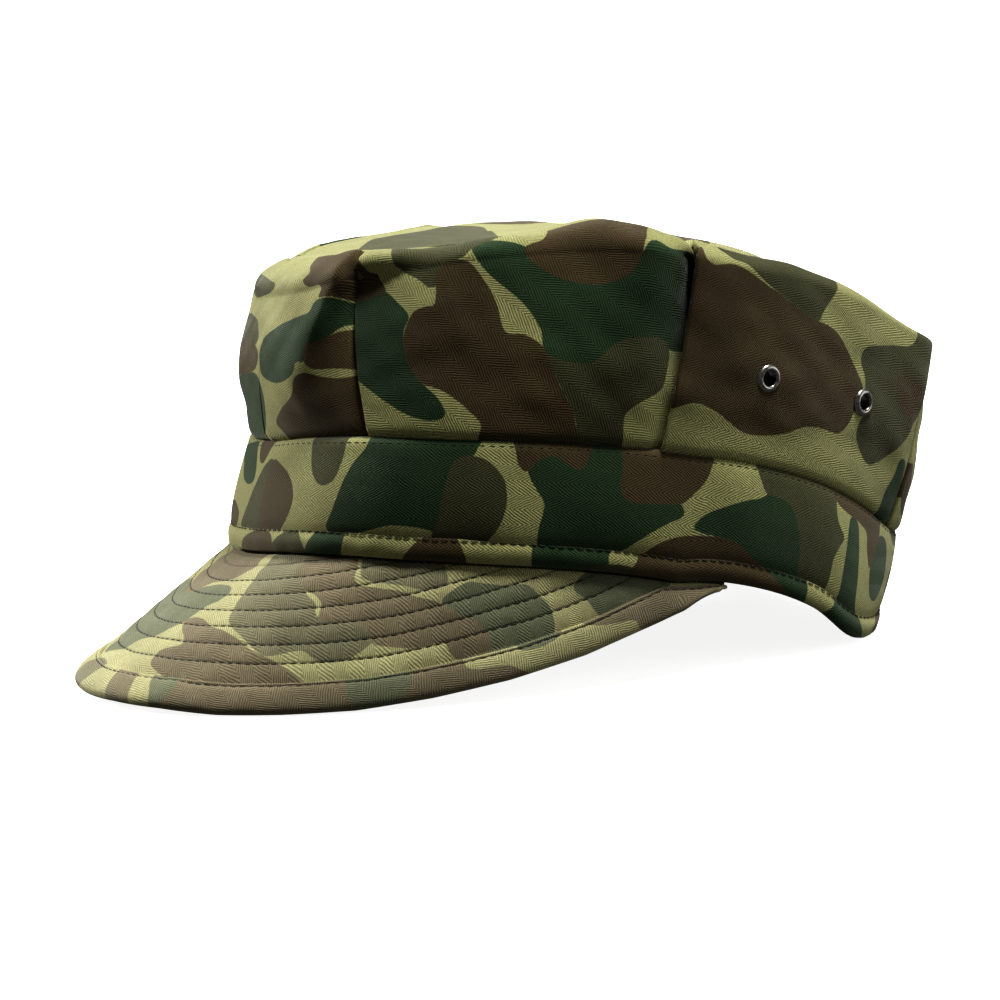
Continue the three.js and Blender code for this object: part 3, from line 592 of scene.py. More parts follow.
# the visor's rows of stitching, by their depth in mm from its edge
FIRST_ROW, ROW_STEP, ROW_COUNT = 16.6, 6.7, 6
KHAKI = (0.402, 0.398, 0.178)
GREEN = (0.037, 0.076, 0.031)
OLIVE = (0.090, 0.093, 0.040)
BROWN = (0.098, 0.070, 0.030)
# the pale tint of painted light on the visor and binding, the cloth's unprinted side, and the painted shade
# where a row of sewing presses it
PAINTED_LIGHT_TINT = (0.61, 0.55, 0.38)
REVERSE_TINT = (0.30, 0.29, 0.15)
REVERSE_FAINT = 0.55
PRESSED_SHADE = 0.68
# each ink's growth over the one below, in mm, and how soft its edge is
INK_GROWTH = dict(green=0.3, olive=0.15, brown=0.0)
INK_SOFT = 0.14


def new_material(name):
    """A material with its node tree and its shader."""
    made = bpy.data.materials.new(name)
    made.use_nodes = True
    return made, made.node_tree, made.node_tree.nodes["Principled BSDF"]


def node(tree, kind, settings=(), **inputs):
    """A node with its settings and inputs. An input is a value or another node's socket."""
    made = tree.nodes.new(kind)
    for name, value in dict(settings).items():
        setattr(made, name, value)
    for name, value in inputs.items():
        socket = made.inputs[int(name[1:])] if name[0] == "i" and name[1:].isdigit() else made.inputs[name]
        if isinstance(value, bpy.types.NodeSocket):
            tree.links.new(value, socket)
        else:
            socket.default_value = value
    return made


def maths(tree, operation, a, b=0.0, c=0.0, clamp=False):
    made = node(tree, "ShaderNodeMath", dict(operation=operation, use_clamp=clamp), i0=a, i1=b, i2=c)
    return made.outputs[0]


def noise(tree, place, scale, detail, output="Fac"):
    return node(tree, "ShaderNodeTexNoise", i0=place, Scale=scale, Detail=detail).outputs[output]


def scaled(tree, vector, by):
    return node(tree, "ShaderNodeVectorMath", dict(operation="SCALE"), i0=vector, Scale=by).outputs[0]


def blend_colour(tree, share, a, b):
    made = tree.nodes.new("ShaderNodeMix")
    made.data_type = "RGBA"
    for socket, value in ((made.inputs[0], share), (made.inputs[6], a), (made.inputs[7], b)):
        if isinstance(value, bpy.types.NodeSocket):
            tree.links.new(value, socket)
        else:
            socket.default_value = (*value, 1) if hasattr(value, "__len__") else value
    return made.outputs[2]


def ranged(tree, value, low, high, to_low=0.0, to_high=1.0, smooth=True):
    made = node(tree, "ShaderNodeMapRange", dict(interpolation_type="SMOOTHSTEP" if smooth else "LINEAR"),
                i0=value, i1=low, i2=high, i3=to_low, i4=to_high)
    return made.outputs[0]


def herringbone_height(tree, along, across):
    """The height of the ribs, 0 to 1, at a place in mm along and across the stripes."""
    stripe = maths(tree, "DIVIDE", across, STRIPE)
    parity = maths(tree, "MODULO", maths(tree, "ABSOLUTE", maths(tree, "FLOOR", stripe)), 2.0)
    lean = maths(tree, "MULTIPLY_ADD", parity, 2.0, -1.0)
    slid = maths(tree, "MULTIPLY", maths(tree, "MULTIPLY", along, math.sin(RIB_SLANT)), lean)
    line = maths(tree, "MULTIPLY_ADD", across, math.cos(RIB_SLANT), slid)
    turn = maths(tree, "MULTIPLY", line, 2 * math.pi / RIB_PITCH)
    return maths(tree, "MULTIPLY_ADD", maths(tree, "SINE", turn), 0.5, 0.5)


def cloth_material(name, reverse=False, sewn_rows=False, painted_light=0.0):
    """Printed herringbone twill. The reverse side shows the same print faintly, and a pale tint of painted
    light can brighten it.
    """
    made, tree, shader = new_material(name)
    in_mm = scaled(tree, node(tree, "ShaderNodeUVMap", dict(uv_map="UVMap")).outputs[0], 1 / MM)
    drift = scaled(tree, noise(tree, in_mm, 0.35, 1.0, "Color"), 0.7)
    uneven = node(tree, "ShaderNodeVectorMath", dict(operation="ADD"), i0=in_mm, i1=drift)
    split = node(tree, "ShaderNodeSeparateXYZ", i0=uneven.outputs[0])
    even_ribs = herringbone_height(tree, split.outputs[0], split.outputs[1])
    kept = ranged(tree, noise(tree, in_mm, 1.7, 1.0), 0.3, 0.62, 0.35, 1.0, smooth=False)
    ribs = maths(tree, "MULTIPLY_ADD", maths(tree, "SUBTRACT", even_ribs, 0.5), kept, 0.5)

    # the inks, one over the other, with ragged edges
    ragged = maths(tree, "MULTIPLY_ADD", noise(tree, in_mm, 2.4, 2.0), 0.5, -0.25)
    ragged = maths(tree, "MULTIPLY_ADD", ribs, 0.16, ragged)
    colour = KHAKI
    for ink, ink_colour in (("green", GREEN), ("olive", OLIVE), ("brown", BROWN)):
        depth = node(tree, "ShaderNodeAttribute", dict(attribute_name="ink_" + ink))
        edge = maths(tree, "ADD", depth.outputs["Fac"], ragged)
        mask = ranged(tree, edge, -INK_SOFT - INK_GROWTH[ink], INK_SOFT - INK_GROWTH[ink])
        colour = blend_colour(tree, mask, colour, ink_colour)

    # cloudy dye, thick and thin yarn, and the ribs' light and shade in the colour, partly the yarns' own tone
    # and partly painted shade
    light = ranged(tree, noise(tree, in_mm, 0.05, 3.0), 0.25, 0.75, 0.86, 1.12, smooth=False)
    yarn = ranged(tree, noise(tree, in_mm, 0.9, 2.0), 0.3, 0.7, 0.9, 1.08, smooth=False)
    light = maths(tree, "MULTIPLY", light, yarn)
    light = maths(tree, "MULTIPLY", light, ranged(tree, ribs, 0.0, 1.0, *RIB_SHADES, smooth=False))
    if reverse:
        colour = blend_colour(tree, REVERSE_FAINT, colour, REVERSE_TINT)
    # painted light: a pale tint blended in brightens the cloth in place of more light falling on it
    if painted_light:
        colour = blend_colour(tree, painted_light, colour, PAINTED_LIGHT_TINT)

    height = maths(tree, "MULTIPLY_ADD", noise(tree, in_mm, 5.0, 2.0), 0.3, ribs)
    if sewn_rows:
        depth = node(tree, "ShaderNodeAttribute", dict(attribute_name="row_depth")).outputs["Fac"]
        slid = maths(tree, "ADD", depth, ROW_STEP * 10.5 - FIRST_ROW)
        in_row = maths(tree, "SUBTRACT", maths(tree, "MODULO", slid, ROW_STEP), ROW_STEP / 2)
        near_row = ranged(tree, maths(tree, "ABSOLUTE", in_row), 0.75, 0.0)
        pressed = maths(tree, "MULTIPLY", near_row, ranged(tree, depth, FIRST_ROW - 2, FIRST_ROW - 1))
        # painted shade: the colour is darkened along each row's groove
        light = maths(tree, "MULTIPLY", light, ranged(tree, pressed, 0.0, 1.0, 1.0, PRESSED_SHADE))
        height = maths(tree, "MULTIPLY_ADD", pressed, -1.6, height)
    tree.links.new(scaled(tree, colour, light), shader.inputs["Base Color"])
    bump = node(tree, "ShaderNodeBump", Strength=0.45, Distance=0.0002, Height=height)
    tree.links.new(bump.outputs[0], shader.inputs["Normal"])
    tree.links.new(ranged(tree, ribs, 0.0, 1.0, 0.94, 0.82, smooth=False), shader.inputs["Roughness"])
    shader.inputs["Specular IOR Level"].default_value = 0.25
    shader.inputs["Sheen Weight"].default_value = 0.25
    shader.inputs["Sheen Roughness"].default_value = 0.5
    shader.inputs["Sheen Tint"].default_value = (1.0, 0.98, 0.9, 1.0)
    return made


crown_cloth = cloth_material("crown twill")
crown_reverse = cloth_material("crown twill reverse", reverse=True)
band_cloth = cloth_material("band twill")
band_reverse = cloth_material("band twill reverse", reverse=True)
# the visor and its binding are brightened with painted light, a pale tint standing in for the light that
# falls on them
visor_cloth = cloth_material("visor twill", sewn_rows=True, painted_light=0.26)
binding_cloth = cloth_material("binding twill", painted_light=0.29)
visor_reverse = cloth_material("visor underside twill", reverse=True)
print("cloth materials:", [m.name for m in bpy.data.materials])


# %% [markdown]
# ## The crown's side
# One long strip of cloth goes round the crown, pleated three times on either side. A pleat is a Z
# in the cloth: it dips into a valley, turns back under itself, and comes out again as the soft fold
# edge of the next panel. It is deepest at the rim and is held nearly flat by the band seam.

# %% Where the columns of the strip stand, and how the pleats move them
PLEATS = [
    dict(station=2, seam_station=2.25, valley=8.5, ridge=1.7, ridge_away=4, ridge_spread=37, ridge_low=0.15,
         lap=2.5, settles=26, under=1.6, over=1.2, pocket=3.5, pocket_wide=2.6),
    dict(station=6.28, seam_station=6.08, valley=4.5, ridge=2.5, ridge_away=15, ridge_spread=0,
         ridge_low=0.0, lap=6.5, settles=24, under=1.6, over=2.4, pocket=6.0, pocket_wide=3.4),
    dict(station=10.4, seam_station=10, valley=4.0, ridge=2.0, ridge_away=9, ridge_spread=0, ridge_low=0.0,
         lap=2.5, settles=20, under=1.5, over=1.2, pocket=3.0, pocket_wide=2.6),
]
# the share of a pleat that is left at the two seams, the radius of its folds, the depth of its
# layers where it lies flat, and how far apart the strip's columns are, in mm
PLEAT_AT_SEAM = 0.12
PLEAT_AT_TOP_SEAM = 0.12
FOLD_ROUND = 1.0
LAYERS_DEEP = 2.4
COLUMN_MM = 1.3


def strip_columns():
    """Each column's station at the rim, its pleat, how far round the pleat's turn it is, and its side."""
    found = []
    # mm before and beyond a pleat's line
    near = [-9, -6.5, -4.6, -3.2, -2.2, -1.4, -0.8, -0.35, 0]
    beyond = [0, 0.5, 1.1, 1.9, 3, 4.4, 6.2, 8.5]
    for number, pleat in enumerate(PLEATS):
        for w in near:
            found.append((pleat["station"] + w / MM_PER_STATION, number, 0.0))
        for turn in np.linspace(0.1, 0.9, 9):
            found.append((pleat["station"], number, float(turn)))
        for w in beyond:
            found.append((pleat["station"] + w / MM_PER_STATION, number, 1.0))
    starts = [0.0] + [p["station"] + beyond[-1] / MM_PER_STATION for p in PLEATS]
    ends = [p["station"] + near[0] / MM_PER_STATION for p in PLEATS] + [float(STATIONS_HALF)]
    for number, (a, b) in enumerate(zip(starts, ends)):
        steps = max(2, round((b - a) * MM_PER_STATION / COLUMN_MM))
        inner = np.linspace(a, b, steps + 1)
        keep = inner[:-1] if number == 0 else inner[1:-1] if number < len(PLEATS) else inner[1:]
        found += [(float(s), number, 0.0 if number < len(PLEATS) else 1.0) for s in keep]
    # columns at one pleat stand in the order of its turn
    return sorted(found, key=lambda c: (c[0], c[2] if c[0] in [p["station"] for p in PLEATS] else 0))


LEFT_COLUMNS = strip_columns()
print("columns on one side of the crown:", len(LEFT_COLUMNS))


# %% The pleated wall as a surface
def valley_and_ridge(pleat, past, up):
    """How far out the cloth stands before a pleat's line. past is in mm from the line, below 0."""
    away = pleat["ridge_away"] + pleat["ridge_spread"] * np.clip(1 - up, 0, 1)
    height = pleat["ridge"] * smoothstep((up - pleat["ridge_low"]) / 0.45 + 0.2)
    to_ridge = -past / away
    dip = -pleat["valley"] + (pleat["valley"] + height) * smoothstep(to_ridge)
    fading = height * (1 - smoothstep((to_ridge - 1) * away / 15))
    pocket = pleat["pocket"] * np.exp(-(past / pleat["pocket_wide"]) ** 2) * smoothstep((up - 0.2) / 0.7)
    return np.where(to_ridge < 1, dip, fading) - pocket


def edge_and_after(pleat, past):
    """How far out the next panel stands behind a pleat's line. past is in mm from the line, above 0."""
    return (pleat["lap"] - pleat["valley"]) * (1 - smoothstep(past / pleat["settles"]))


def pleat_moves(side, up, turn_of, turn):
    """The cloth's shift outwards and along, in mm. side is the station counted from the front."""
    fade = np.where(up <= 1, PLEAT_AT_SEAM + (1 - PLEAT_AT_SEAM) * np.clip(up, 0, 1) ** 1.3,
                    1 + (PLEAT_AT_TOP_SEAM - 1) * smoothstep((up - 1) / 0.7))
    outward = np.zeros(np.broadcast(side, up).shape)
    along = np.zeros_like(outward)
    sunk = np.zeros_like(outward)
    for number, pleat in enumerate(PLEATS):
        line = pleat["seam_station"] + (pleat["station"] - pleat["seam_station"]) * np.minimum(up, 1)
        past = (side - line) * MM_PER_STATION
        at_turn = (turn_of == number) & (turn > 0) & (turn < 1)
        own = (turn_of == number) & (np.abs(past) < 0.2)
        before = np.where(own, turn < 0.5, past < 0)
        low = valley_and_ridge(pleat, np.zeros_like(past), up)
        high = pleat["lap"] - pleat["valley"]
        under, over = pleat["under"], pleat["over"]
        out_here = np.where(before, valley_and_ridge(pleat, np.minimum(past, 0), up),
                            edge_and_after(pleat, np.maximum(past, 0)))
        along_here = np.where(before, under * smoothstep(1 + past / 8), -over * (1 - smoothstep(past / 14)))
        # the turn: from the valley, under the next panel, and round its fold edge
        back = np.clip(turn / 0.5, 0, 1)
        round_edge = np.clip((turn - 0.5) / 0.5, 0, 1) * math.pi
        thick = 2 * FOLD_ROUND
        out_turn = np.where(turn < 0.5, low + (high - thick - low) * smoothstep(back),
                            high - FOLD_ROUND - FOLD_ROUND * np.cos(round_edge))
        along_turn = np.where(turn < 0.5, under + (-over - under) * back,
                              -over - FOLD_ROUND * np.sin(round_edge))
        outward = outward + np.where(at_turn, out_turn, out_here)
        along = along + np.where(at_turn, along_turn, along_here)
        layer = np.where(turn < 0.5, LAYERS_DEEP - LAYERS_DEEP / 2 * back,
                         LAYERS_DEEP / 2 * (1 - (turn - 0.5) * 2))
        below = np.where(at_turn, layer, np.where(before, LAYERS_DEEP * np.exp(-(past / 2.5) ** 2), 0))
        sunk = sunk + below * (1 - fade)
    sideways = np.where(up <= 1, 0.4 + 0.6 * smoothstep(up / 0.5), 1 - 0.6 * (up - 1))
    kept = np.maximum(fade, 0.5)
    return outward * fade - sunk, along * kept * sideways


def wall_point(station, up, turn_of, turn):
    """A point of the pleated wall. station may lie on either side of the cap."""
    side = np.where(station > STATIONS_HALF, STATIONS_ROUND - station, station)
    hand = np.where(station > STATIONS_HALF, -1.0, 1.0)
    outward, along = pleat_moves(side, up, turn_of, turn)
    base = wall_base(station, up)
    normal = normal_of(wall_base, station, up)
    step = 0.02
    tangent = unit(wall_base(station + step, up) - wall_base(station - step, up)) * hand[..., None]
    return base + normal * outward[..., None] + tangent * along[..., None]


print("pleats:", len(PLEATS), "on either side")


# %% Lay the strip and fold it
CROWN_THICK = 0.8
WALL_ROWS = np.concatenate([np.linspace(0, 1, 66), 1 + np.linspace(0.06, 0.9, 15), [1.94, 1.97, 2.0]])


def crown_grid():
    left = LEFT_COLUMNS
    right = [(STATIONS_ROUND - s, n, t) for s, n, t in reversed(left[1:-1])]
    columns = left + right + [(float(STATIONS_ROUND), 0, 0.0)]
    rim_station = np.array([c[0] for c in columns])[:, None]
    turn_of = np.array([c[1] for c in columns])[:, None] + np.zeros(len(WALL_ROWS), int)
    turn = np.array([c[2] for c in columns])[:, None] + np.zeros(len(WALL_ROWS))
    up = WALL_ROWS[None] + np.zeros((len(columns), 1))
    # a pleat's line leans a little between the seam and the rim, and the columns beside it lean too
    side = np.where(rim_station > STATIONS_HALF, STATIONS_ROUND - rim_station, rim_station)
    lean = np.zeros_like(up)
    for pleat in PLEATS:
        near = np.exp(-((side - pleat["station"]) / 0.8) ** 2)
        lean += near * (pleat["seam_station"] - pleat["station"]) * (1 - np.minimum(up, 1))
    station = rim_station + lean * np.where(rim_station > STATIONS_HALF, -1, 1)
    return station, up, turn_of, turn


station, up, turn_of, turn = crown_grid()
wall = wall_point(station, up, turn_of, turn)
side = np.where(station > STATIONS_HALF, STATIONS_ROUND - station, station)

# lengths on the flat cloth: along the seam from the middle of the front, and up from the seam
fine = np.linspace(0, STATIONS_ROUND, 2601)
seam_steps = np.linalg.norm(np.diff(seam_line(fine), axis=0), axis=1)
SEAM_LENGTHS = np.concatenate([[0], np.cumsum(seam_steps)])
SEAM_ROUND = SEAM_LENGTHS[-1]


def seam_length(station):
    return np.interp(station, fine, SEAM_LENGTHS)


cloth_s = seam_length(station)
cloth_t = lengths_along(wall_base(station, up), 1)
print("crown seam is", round(float(SEAM_ROUND)), "mm round; wall grid", wall.shape)

# small unevenness of worn cloth, none at the seam
wall_normal = normal_of(wall_base, station, up)
wall = wall + wall_normal * (creases("wall", wall) * smoothstep(up / 0.25))[..., None]
# the lower edge turns in where it is sewn to the band
into_seam = 1.3 * np.exp(-cloth_t / 0.35)
tuck = 0.9 * np.exp(-cloth_t / 1.0) + into_seam
wall[..., 2] -= into_seam
wall = wall - wall_normal * tuck[..., None]
# the upper edge turns down into the top seam
wall[..., 2] -= 0.9 * np.exp(-((2 - up) / 0.045) ** 2)

crown_side, column, row = lay_cloth("crown_side_cloth", wall, crown_cloth, crown_reverse)
crown_area = grid_area(wall)
print("crown side cloth", round(crown_area * 1e4), "square cm")

# %% Print the crown's side and finish it
# where the chart of the left side is turned end for end for the right: 6 mm past the middle of the
# back, and 58 mm up
TURNED_PAST, TURNED_HIGH = 6, 58
half = SEAM_ROUND / 2
on_left = station <= STATIONS_HALF
s_left = np.where(on_left, cloth_s, SEAM_ROUND - cloth_s)
s_chart = np.where(on_left, cloth_s, half - s_left + TURNED_PAST)
t_chart = np.where(on_left, cloth_t, TURNED_HIGH - cloth_t)
depths = {ink: np.full(wall.shape[:2], -INK_REACH) for ink in INKS}
panel = np.digitize(side, [p["station"] for p in PLEATS])
for number in range(len(PLEATS)):
    here = (turn_of == number) & (np.abs(side - PLEATS[number]["station"]) < 0.6)
    panel = np.where(here & (turn >= 0.3), number + 1, np.where(here, number, panel))
for number, chart in enumerate((FRONT_PANEL, MIDDLE_PANEL, REAR_PANEL, BACK_PANEL)):
    found = printed(chart, s_chart, t_chart, on_left & (panel == number))
    for ink in INKS:
        depths[ink] = np.maximum(depths[ink], found[ink])
# the front panel's chart runs on over the middle, and the other panels have the turned charts
found = printed(FRONT_PANEL, cloth_s - SEAM_ROUND, cloth_t, ~on_left & (panel == 0))
all_panels = FRONT_PANEL + MIDDLE_PANEL + REAR_PANEL + BACK_PANEL
turned = printed(all_panels, s_chart, t_chart, ~on_left & (panel > 0))
for ink in INKS:
    depths[ink] = np.maximum(depths[ink], np.maximum(found[ink], turned[ink]))
print_cloth(crown_side, column, row, depths)

# each panel's grain leans its own way
grain = np.radians([-14, -33, -10, 6])[panel]
# the cloth hidden in the pleats lengthens the strip, so that the weave runs on round each fold
HIDDEN_MM = 6
hidden = HIDDEN_MM * np.where((turn > 0) & (turn < 1), turn_of + turn, panel)
weave_s = cloth_s + np.where(on_left, hidden, -hidden)
weave = np.stack([weave_s * np.cos(grain) + cloth_t * np.sin(grain),
                  cloth_t * np.cos(grain) - weave_s * np.sin(grain)], -1)
write_corners(crown_side, column, row, "UVMap", weave * MM)
finish_cloth(crown_side, "crown_side", CROWN_THICK)


# %% [markdown]
# ## The top panel
# The top is one flat panel, sewn to the roll of the side and pushed up a little by what is under
# it. It starts as a grid whose rows become rings, from the middle out to the seam.

# %% Lay the top panel
# how far the middle is pushed up, in mm
TOP_RISE = 7
TOP_COLUMNS, TOP_ROWS = 360, 64


def top_point(station, share):
    """The top panel from its middle (0) to its seam (1)."""
    middle = np.array([TOP_MIDDLE[0], TOP_MIDDLE[1] - FOOTPRINT_Y, TOP_MIDDLE[2]])
    seam = np.full_like(station, 2.0)
    plain = wall_base(station, seam)
    edge = wall_point(station, seam, np.zeros_like(station, int), np.zeros_like(station))
    # the pleats show in its outer fifth alone
    edge = plain + (edge - plain) * smoothstep((share - 0.8) / 0.2)[..., None]
    inward = unit((middle - edge) * (1, 1, 0))
    edge = edge - inward * 0.2
    at = middle + (edge - middle) * share[..., None]
    swell = TOP_RISE * (1 - share * share) * smoothstep((1 - share) * 3)
    height = middle[2] + (edge[..., 2] - middle[2]) * share ** 1.5 + swell
    return points(at[..., 0], at[..., 1], height)


ring = np.linspace(0, STATIONS_ROUND, TOP_COLUMNS + 1)[:, None] + np.zeros(TOP_ROWS)
share = np.linspace(0, 1, TOP_ROWS)[None] ** 0.85 + np.zeros((TOP_COLUMNS + 1, 1))
top = top_point(ring, share)
top[..., 2] += creases("top", top) * smoothstep((1 - share) * 6)
top[..., 2] -= 0.9 * np.exp(-((1 - share) / 0.012) ** 2)
crown_top, column, row = lay_cloth("crown_top_cloth", top, crown_cloth, crown_reverse)
print_cloth(crown_top, column, row, printed(TOP_CHART, top[..., 0], top[..., 1]))
write_corners(crown_top, column, row, "UVMap", top[..., :2] * MM)
finish_cloth(crown_top, "crown_top", CROWN_THICK)
top_area = grid_area(top)


# %% [markdown]
# ## The band and its hem
# The band is a plain strip under the crown. Its lower edge is folded up twice and sewn, so the hem
# is a soft roll that stands proud of the band, pressed in along its top by the stitching. The hem
# is its own strip here, laid as a U round the band's lower edge.

# %% Lay the band
BAND_THICK = 2.0
BAND_COLUMNS, BAND_ROWS = 440, 30
HEM_HEIGHT = 6.4
HEM_THICK = 3.4
HEM_PROUD = 0.6


def band_height(station):
    """The band's own height in mm at a station."""
    return np.linalg.norm(band_line(station, np.ones_like(station)) - band_foot(station)[0], axis=-1)


ring = np.linspace(0, STATIONS_ROUND, BAND_COLUMNS + 1)
length = band_height(ring)[:, None]
# from behind the hem to just past the seam
low = (HEM_HEIGHT - 1.6) / length
high = 1 + 0.4 / length
up = low + (high - low) * np.linspace(0, 1, BAND_ROWS)[None]
ring = ring[:, None] + np.zeros(BAND_ROWS)
band_t = up * length
band_s = seam_length(ring)
normal = normal_of(band_line, ring, up)
# it is pressed in where it is sewn to the crown and to the hem
depth = HEM_PROUD + 0.9 * np.exp(-(length - band_t) / 0.9)
depth = depth + 0.5 * np.exp(-np.maximum(band_t - HEM_HEIGHT, 0) / 1.2)
wavy = creases("band", band_line(ring, up)) * smoothstep((length - band_t) / 6)
band_place = band_line(ring, up) + normal * (wavy - depth)[..., None]
band, column, row = lay_cloth("band_cloth", band_place, band_cloth, band_reverse)


# the turned chart ends between two patches, so that none is cut
TURNED_UP_TO = 233


def print_ring(chart, s, t, high_mm):
    """The chart on the wearer's left, and the same chart turned end for end on the right."""
    left = s <= half + 1e-6
    from_front = np.where(left, s, SEAM_ROUND - s)
    first = printed(chart, s, t, left)
    s_turned = half - from_front + TURNED_PAST
    across = printed(chart, s - SEAM_ROUND, t, ~left & (s_turned > TURNED_UP_TO))
    turned = printed(chart, s_turned, high_mm - t, ~left & (s_turned <= TURNED_UP_TO))
    return {ink: np.maximum(first[ink], np.maximum(across[ink], turned[ink])) for ink in INKS}


print_cloth(band, column, row, print_ring(BAND_CHART, band_s, band_t, 34))
write_corners(band, column, row, "UVMap", np.stack([band_s, band_t], -1) * MM)
finish_cloth(band, "band", BAND_THICK)
band_area = grid_area(band_place)


# %% Lay the hem as a U round the band's lower edge
FOLDED_THICK = 0.7


def on_table(place):
    place[..., 2] = np.maximum(place[..., 2], 0)
    return place


# depth behind the face and height above the lower edge, from the sewn top edge round to the inside
HEM_PROFILE = [
    (1.05, 7.3), (0.85, 7.15), (0.55, 6.9), (0.3, 6.5), (0.1, 5.9), (-0.15, 5.1), (-0.3, 4.2), (-0.3, 3.2),
    (-0.15, 2.2), (0.1, 1.3), (0.45, 0.6), (1.0, 0.15), (1.7, 0.0), (2.4, 0.15), (3.0, 0.6), (3.3, 1.4),
    (3.4, 2.6), (3.4, 4.0), (3.4, 5.4), (3.4, 6.4),
]
HEM_TOP = 7.3
ring = np.linspace(0, STATIONS_ROUND, BAND_COLUMNS + 1)
foot, rise, out = band_foot(ring)
hem_place = np.stack([on_table(foot + rise * h - out * d) for d, h in HEM_PROFILE], 1)
hem_s = seam_length(ring)[:, None] + np.zeros(len(HEM_PROFILE))
hem_t = HEM_TOP - lengths_along(hem_place, 1)
# only the face that shows is puckered, and not at its sewn edge
puckered = np.array([np.clip((6.6 - h) / 1.5, 0, 1) if d < 1.4 else 0.0 for d, h in HEM_PROFILE])
hem_place = on_table(hem_place + out[:, None] * (creases("hem", hem_place) * puckered)[..., None])
hem, column, row = lay_cloth("band_hem_cloth", hem_place, band_cloth, band_reverse)
print_cloth(hem, column, row, print_ring(HEM_CHART, hem_s, hem_t, 6))
write_corners(hem, column, row, "UVMap", np.stack([hem_s, hem_t], -1) * MM)
finish_cloth(hem, "band_hem", FOLDED_THICK)
hem_area = grid_area(hem_place)


# %% [markdown]
# ## The visor
# The visor is a stiff curved board covered in cloth, sewn through in rows that follow its edge, and
# bound with a folded strip. Its upper face runs from the band to the edge on lines that fan out.
# The sewing presses a shallow groove, and the cloth stands up a little between the rows.

# %% The visor's face
VISOR = dict(half_width=84, end_y=12, reach=164.5, square=2.6, end_angle=97, fan=1.35, arch=0.6)
VISOR_EDGE_HEIGHTS = [3.7, 3.8, 3.2, 1.7, 1.3, 1.3, 3.0, 5.8, 10.2, 16.8, 24.0]
VISOR_THICK = 3.0
BINDING_THICK = 3.8
BINDING_WIDTH = 9.4
BINDING_PROUD = 0.8
BINDING_END = 0.97
END_TAPER = dict(start=0.8, thinned=0.55)
LIP = dict(clear=0.5, thick=1.6, rise=4)


def visor_station(along):
    return along * math.radians(VISOR["end_angle"]) / STATION_ANGLE


def visor_face(along, out, inset=1.2, drop=GAP):
    """The visor's upper face: along from -1 at its right end to 1 at its left, out from 0 to 1."""
    along = np.asarray(along, float)
    root = bottom_line(visor_station(along))
    root = root - unit(points(root[..., 0], root[..., 1] + FOOTPRINT_Y, 0)) * inset
    root[..., 2] -= drop
    turn = np.pi / 2 * (1 - np.abs(along)) ** VISOR["fan"]
    edge_z = np.interp(np.abs(along) * 10, np.arange(11), VISOR_EDGE_HEIGHTS)
    forward = VISOR["end_y"] - VISOR["reach"] * np.sin(turn) ** (2 / VISOR["square"])
    edge = points(np.sign(along) * VISOR["half_width"] * np.cos(turn), forward - FOOTPRINT_Y, edge_z)
    # the two ends taper to a point under the hem
    edge = root + (edge - root) * (1 - 0.75 * smoothstep((np.abs(along) - 0.935) / 0.045))[..., None]
    width = np.linalg.norm(edge - root, axis=-1)
    at = root + (edge - root) * out[..., None]
    at[..., 2] += VISOR["arch"] * np.minimum(1, width / 50) * np.sin(np.pi * out)
    return at


def visor_width(along):
    inner = np.zeros_like(along)
    return np.linalg.norm(visor_face(along, inner) - visor_face(along, inner + 1), axis=-1)


def visor_normal(along, out, step=0.01):
    sideways = visor_face(along + step, out) - visor_face(along - step, out)
    outward = visor_face(along, out + step) - visor_face(along, out - step)
    return unit(np.cross(outward, sideways))


def thinning(along):
    """The share of its thickness that the visor keeps towards its ends."""
    past = (np.abs(along) - END_TAPER["start"]) / (1 - END_TAPER["start"])
    return 1 - END_TAPER["thinned"] * smoothstep(past)


VISOR_COLUMNS = 300
places = np.linspace(-1, 1, VISOR_COLUMNS + 1)
CROWDING = 0.4 * math.pi
visor_along = BINDING_END * np.sin(places * CROWDING) / math.sin(CROWDING)
fine_along = np.linspace(-1, 1, 2001)
edge_steps = np.linalg.norm(np.diff(visor_face(fine_along, np.ones_like(fine_along)), axis=0), axis=1)
EDGE_LENGTHS = np.concatenate([[0], np.cumsum(edge_steps)])
EDGE_LENGTHS -= np.interp(0, fine_along, EDGE_LENGTHS)
print("visor edge is", round(float(EDGE_LENGTHS[-1] - EDGE_LENGTHS[0])), "mm long")

# rows of stitching by their depth from the edge
ROW_PUFF = 0.34


def wander(place_mm):
    """How far in mm a row of stitching strays from its even line, outwards."""
    return creases("sewn_row", place_mm)


def puff_at(depth_mm):
    """How far the cloth stands up between two rows of stitching, 0 at a row and 1 midway."""
    return np.abs(np.sin(np.pi * (depth_mm - FIRST_ROW) / ROW_STEP)) ** 0.7


def sunk_cloth(along):
    """How far the visor's cloth lies below the face of its binding."""
    return np.minimum(BINDING_PROUD, BINDING_PROUD * thinning(along) + 0.1)


FORWARD_SLOPE = 0.45
FORWARD_LENGTH = 1.1


def flat_on_visor(place):
    """Lengths on the flat visor cloth: across it from the middle, and forwards."""
    step = np.diff(place, axis=0)
    sideways = np.sqrt(step[..., 0] ** 2 + (step[..., 2] + FORWARD_SLOPE * step[..., 1]) ** 2)
    across = np.concatenate([np.zeros_like(sideways[:1]), np.cumsum(sideways, axis=0)])
    across = across - across[len(across) // 2]
    return np.stack([across, place[..., 1] * FORWARD_LENGTH], -1)


# %% Lay the visor's upper and lower faces as one folded sheet
PLATE_ROWS = 92
VISOR_SOFT = 0.8
# the depth that is written where no row of sewing may show
NO_ROW = -50.0


def plate_share(along):
    return np.maximum(0.12, 1 - (BINDING_WIDTH + GAP) / visor_width(along))


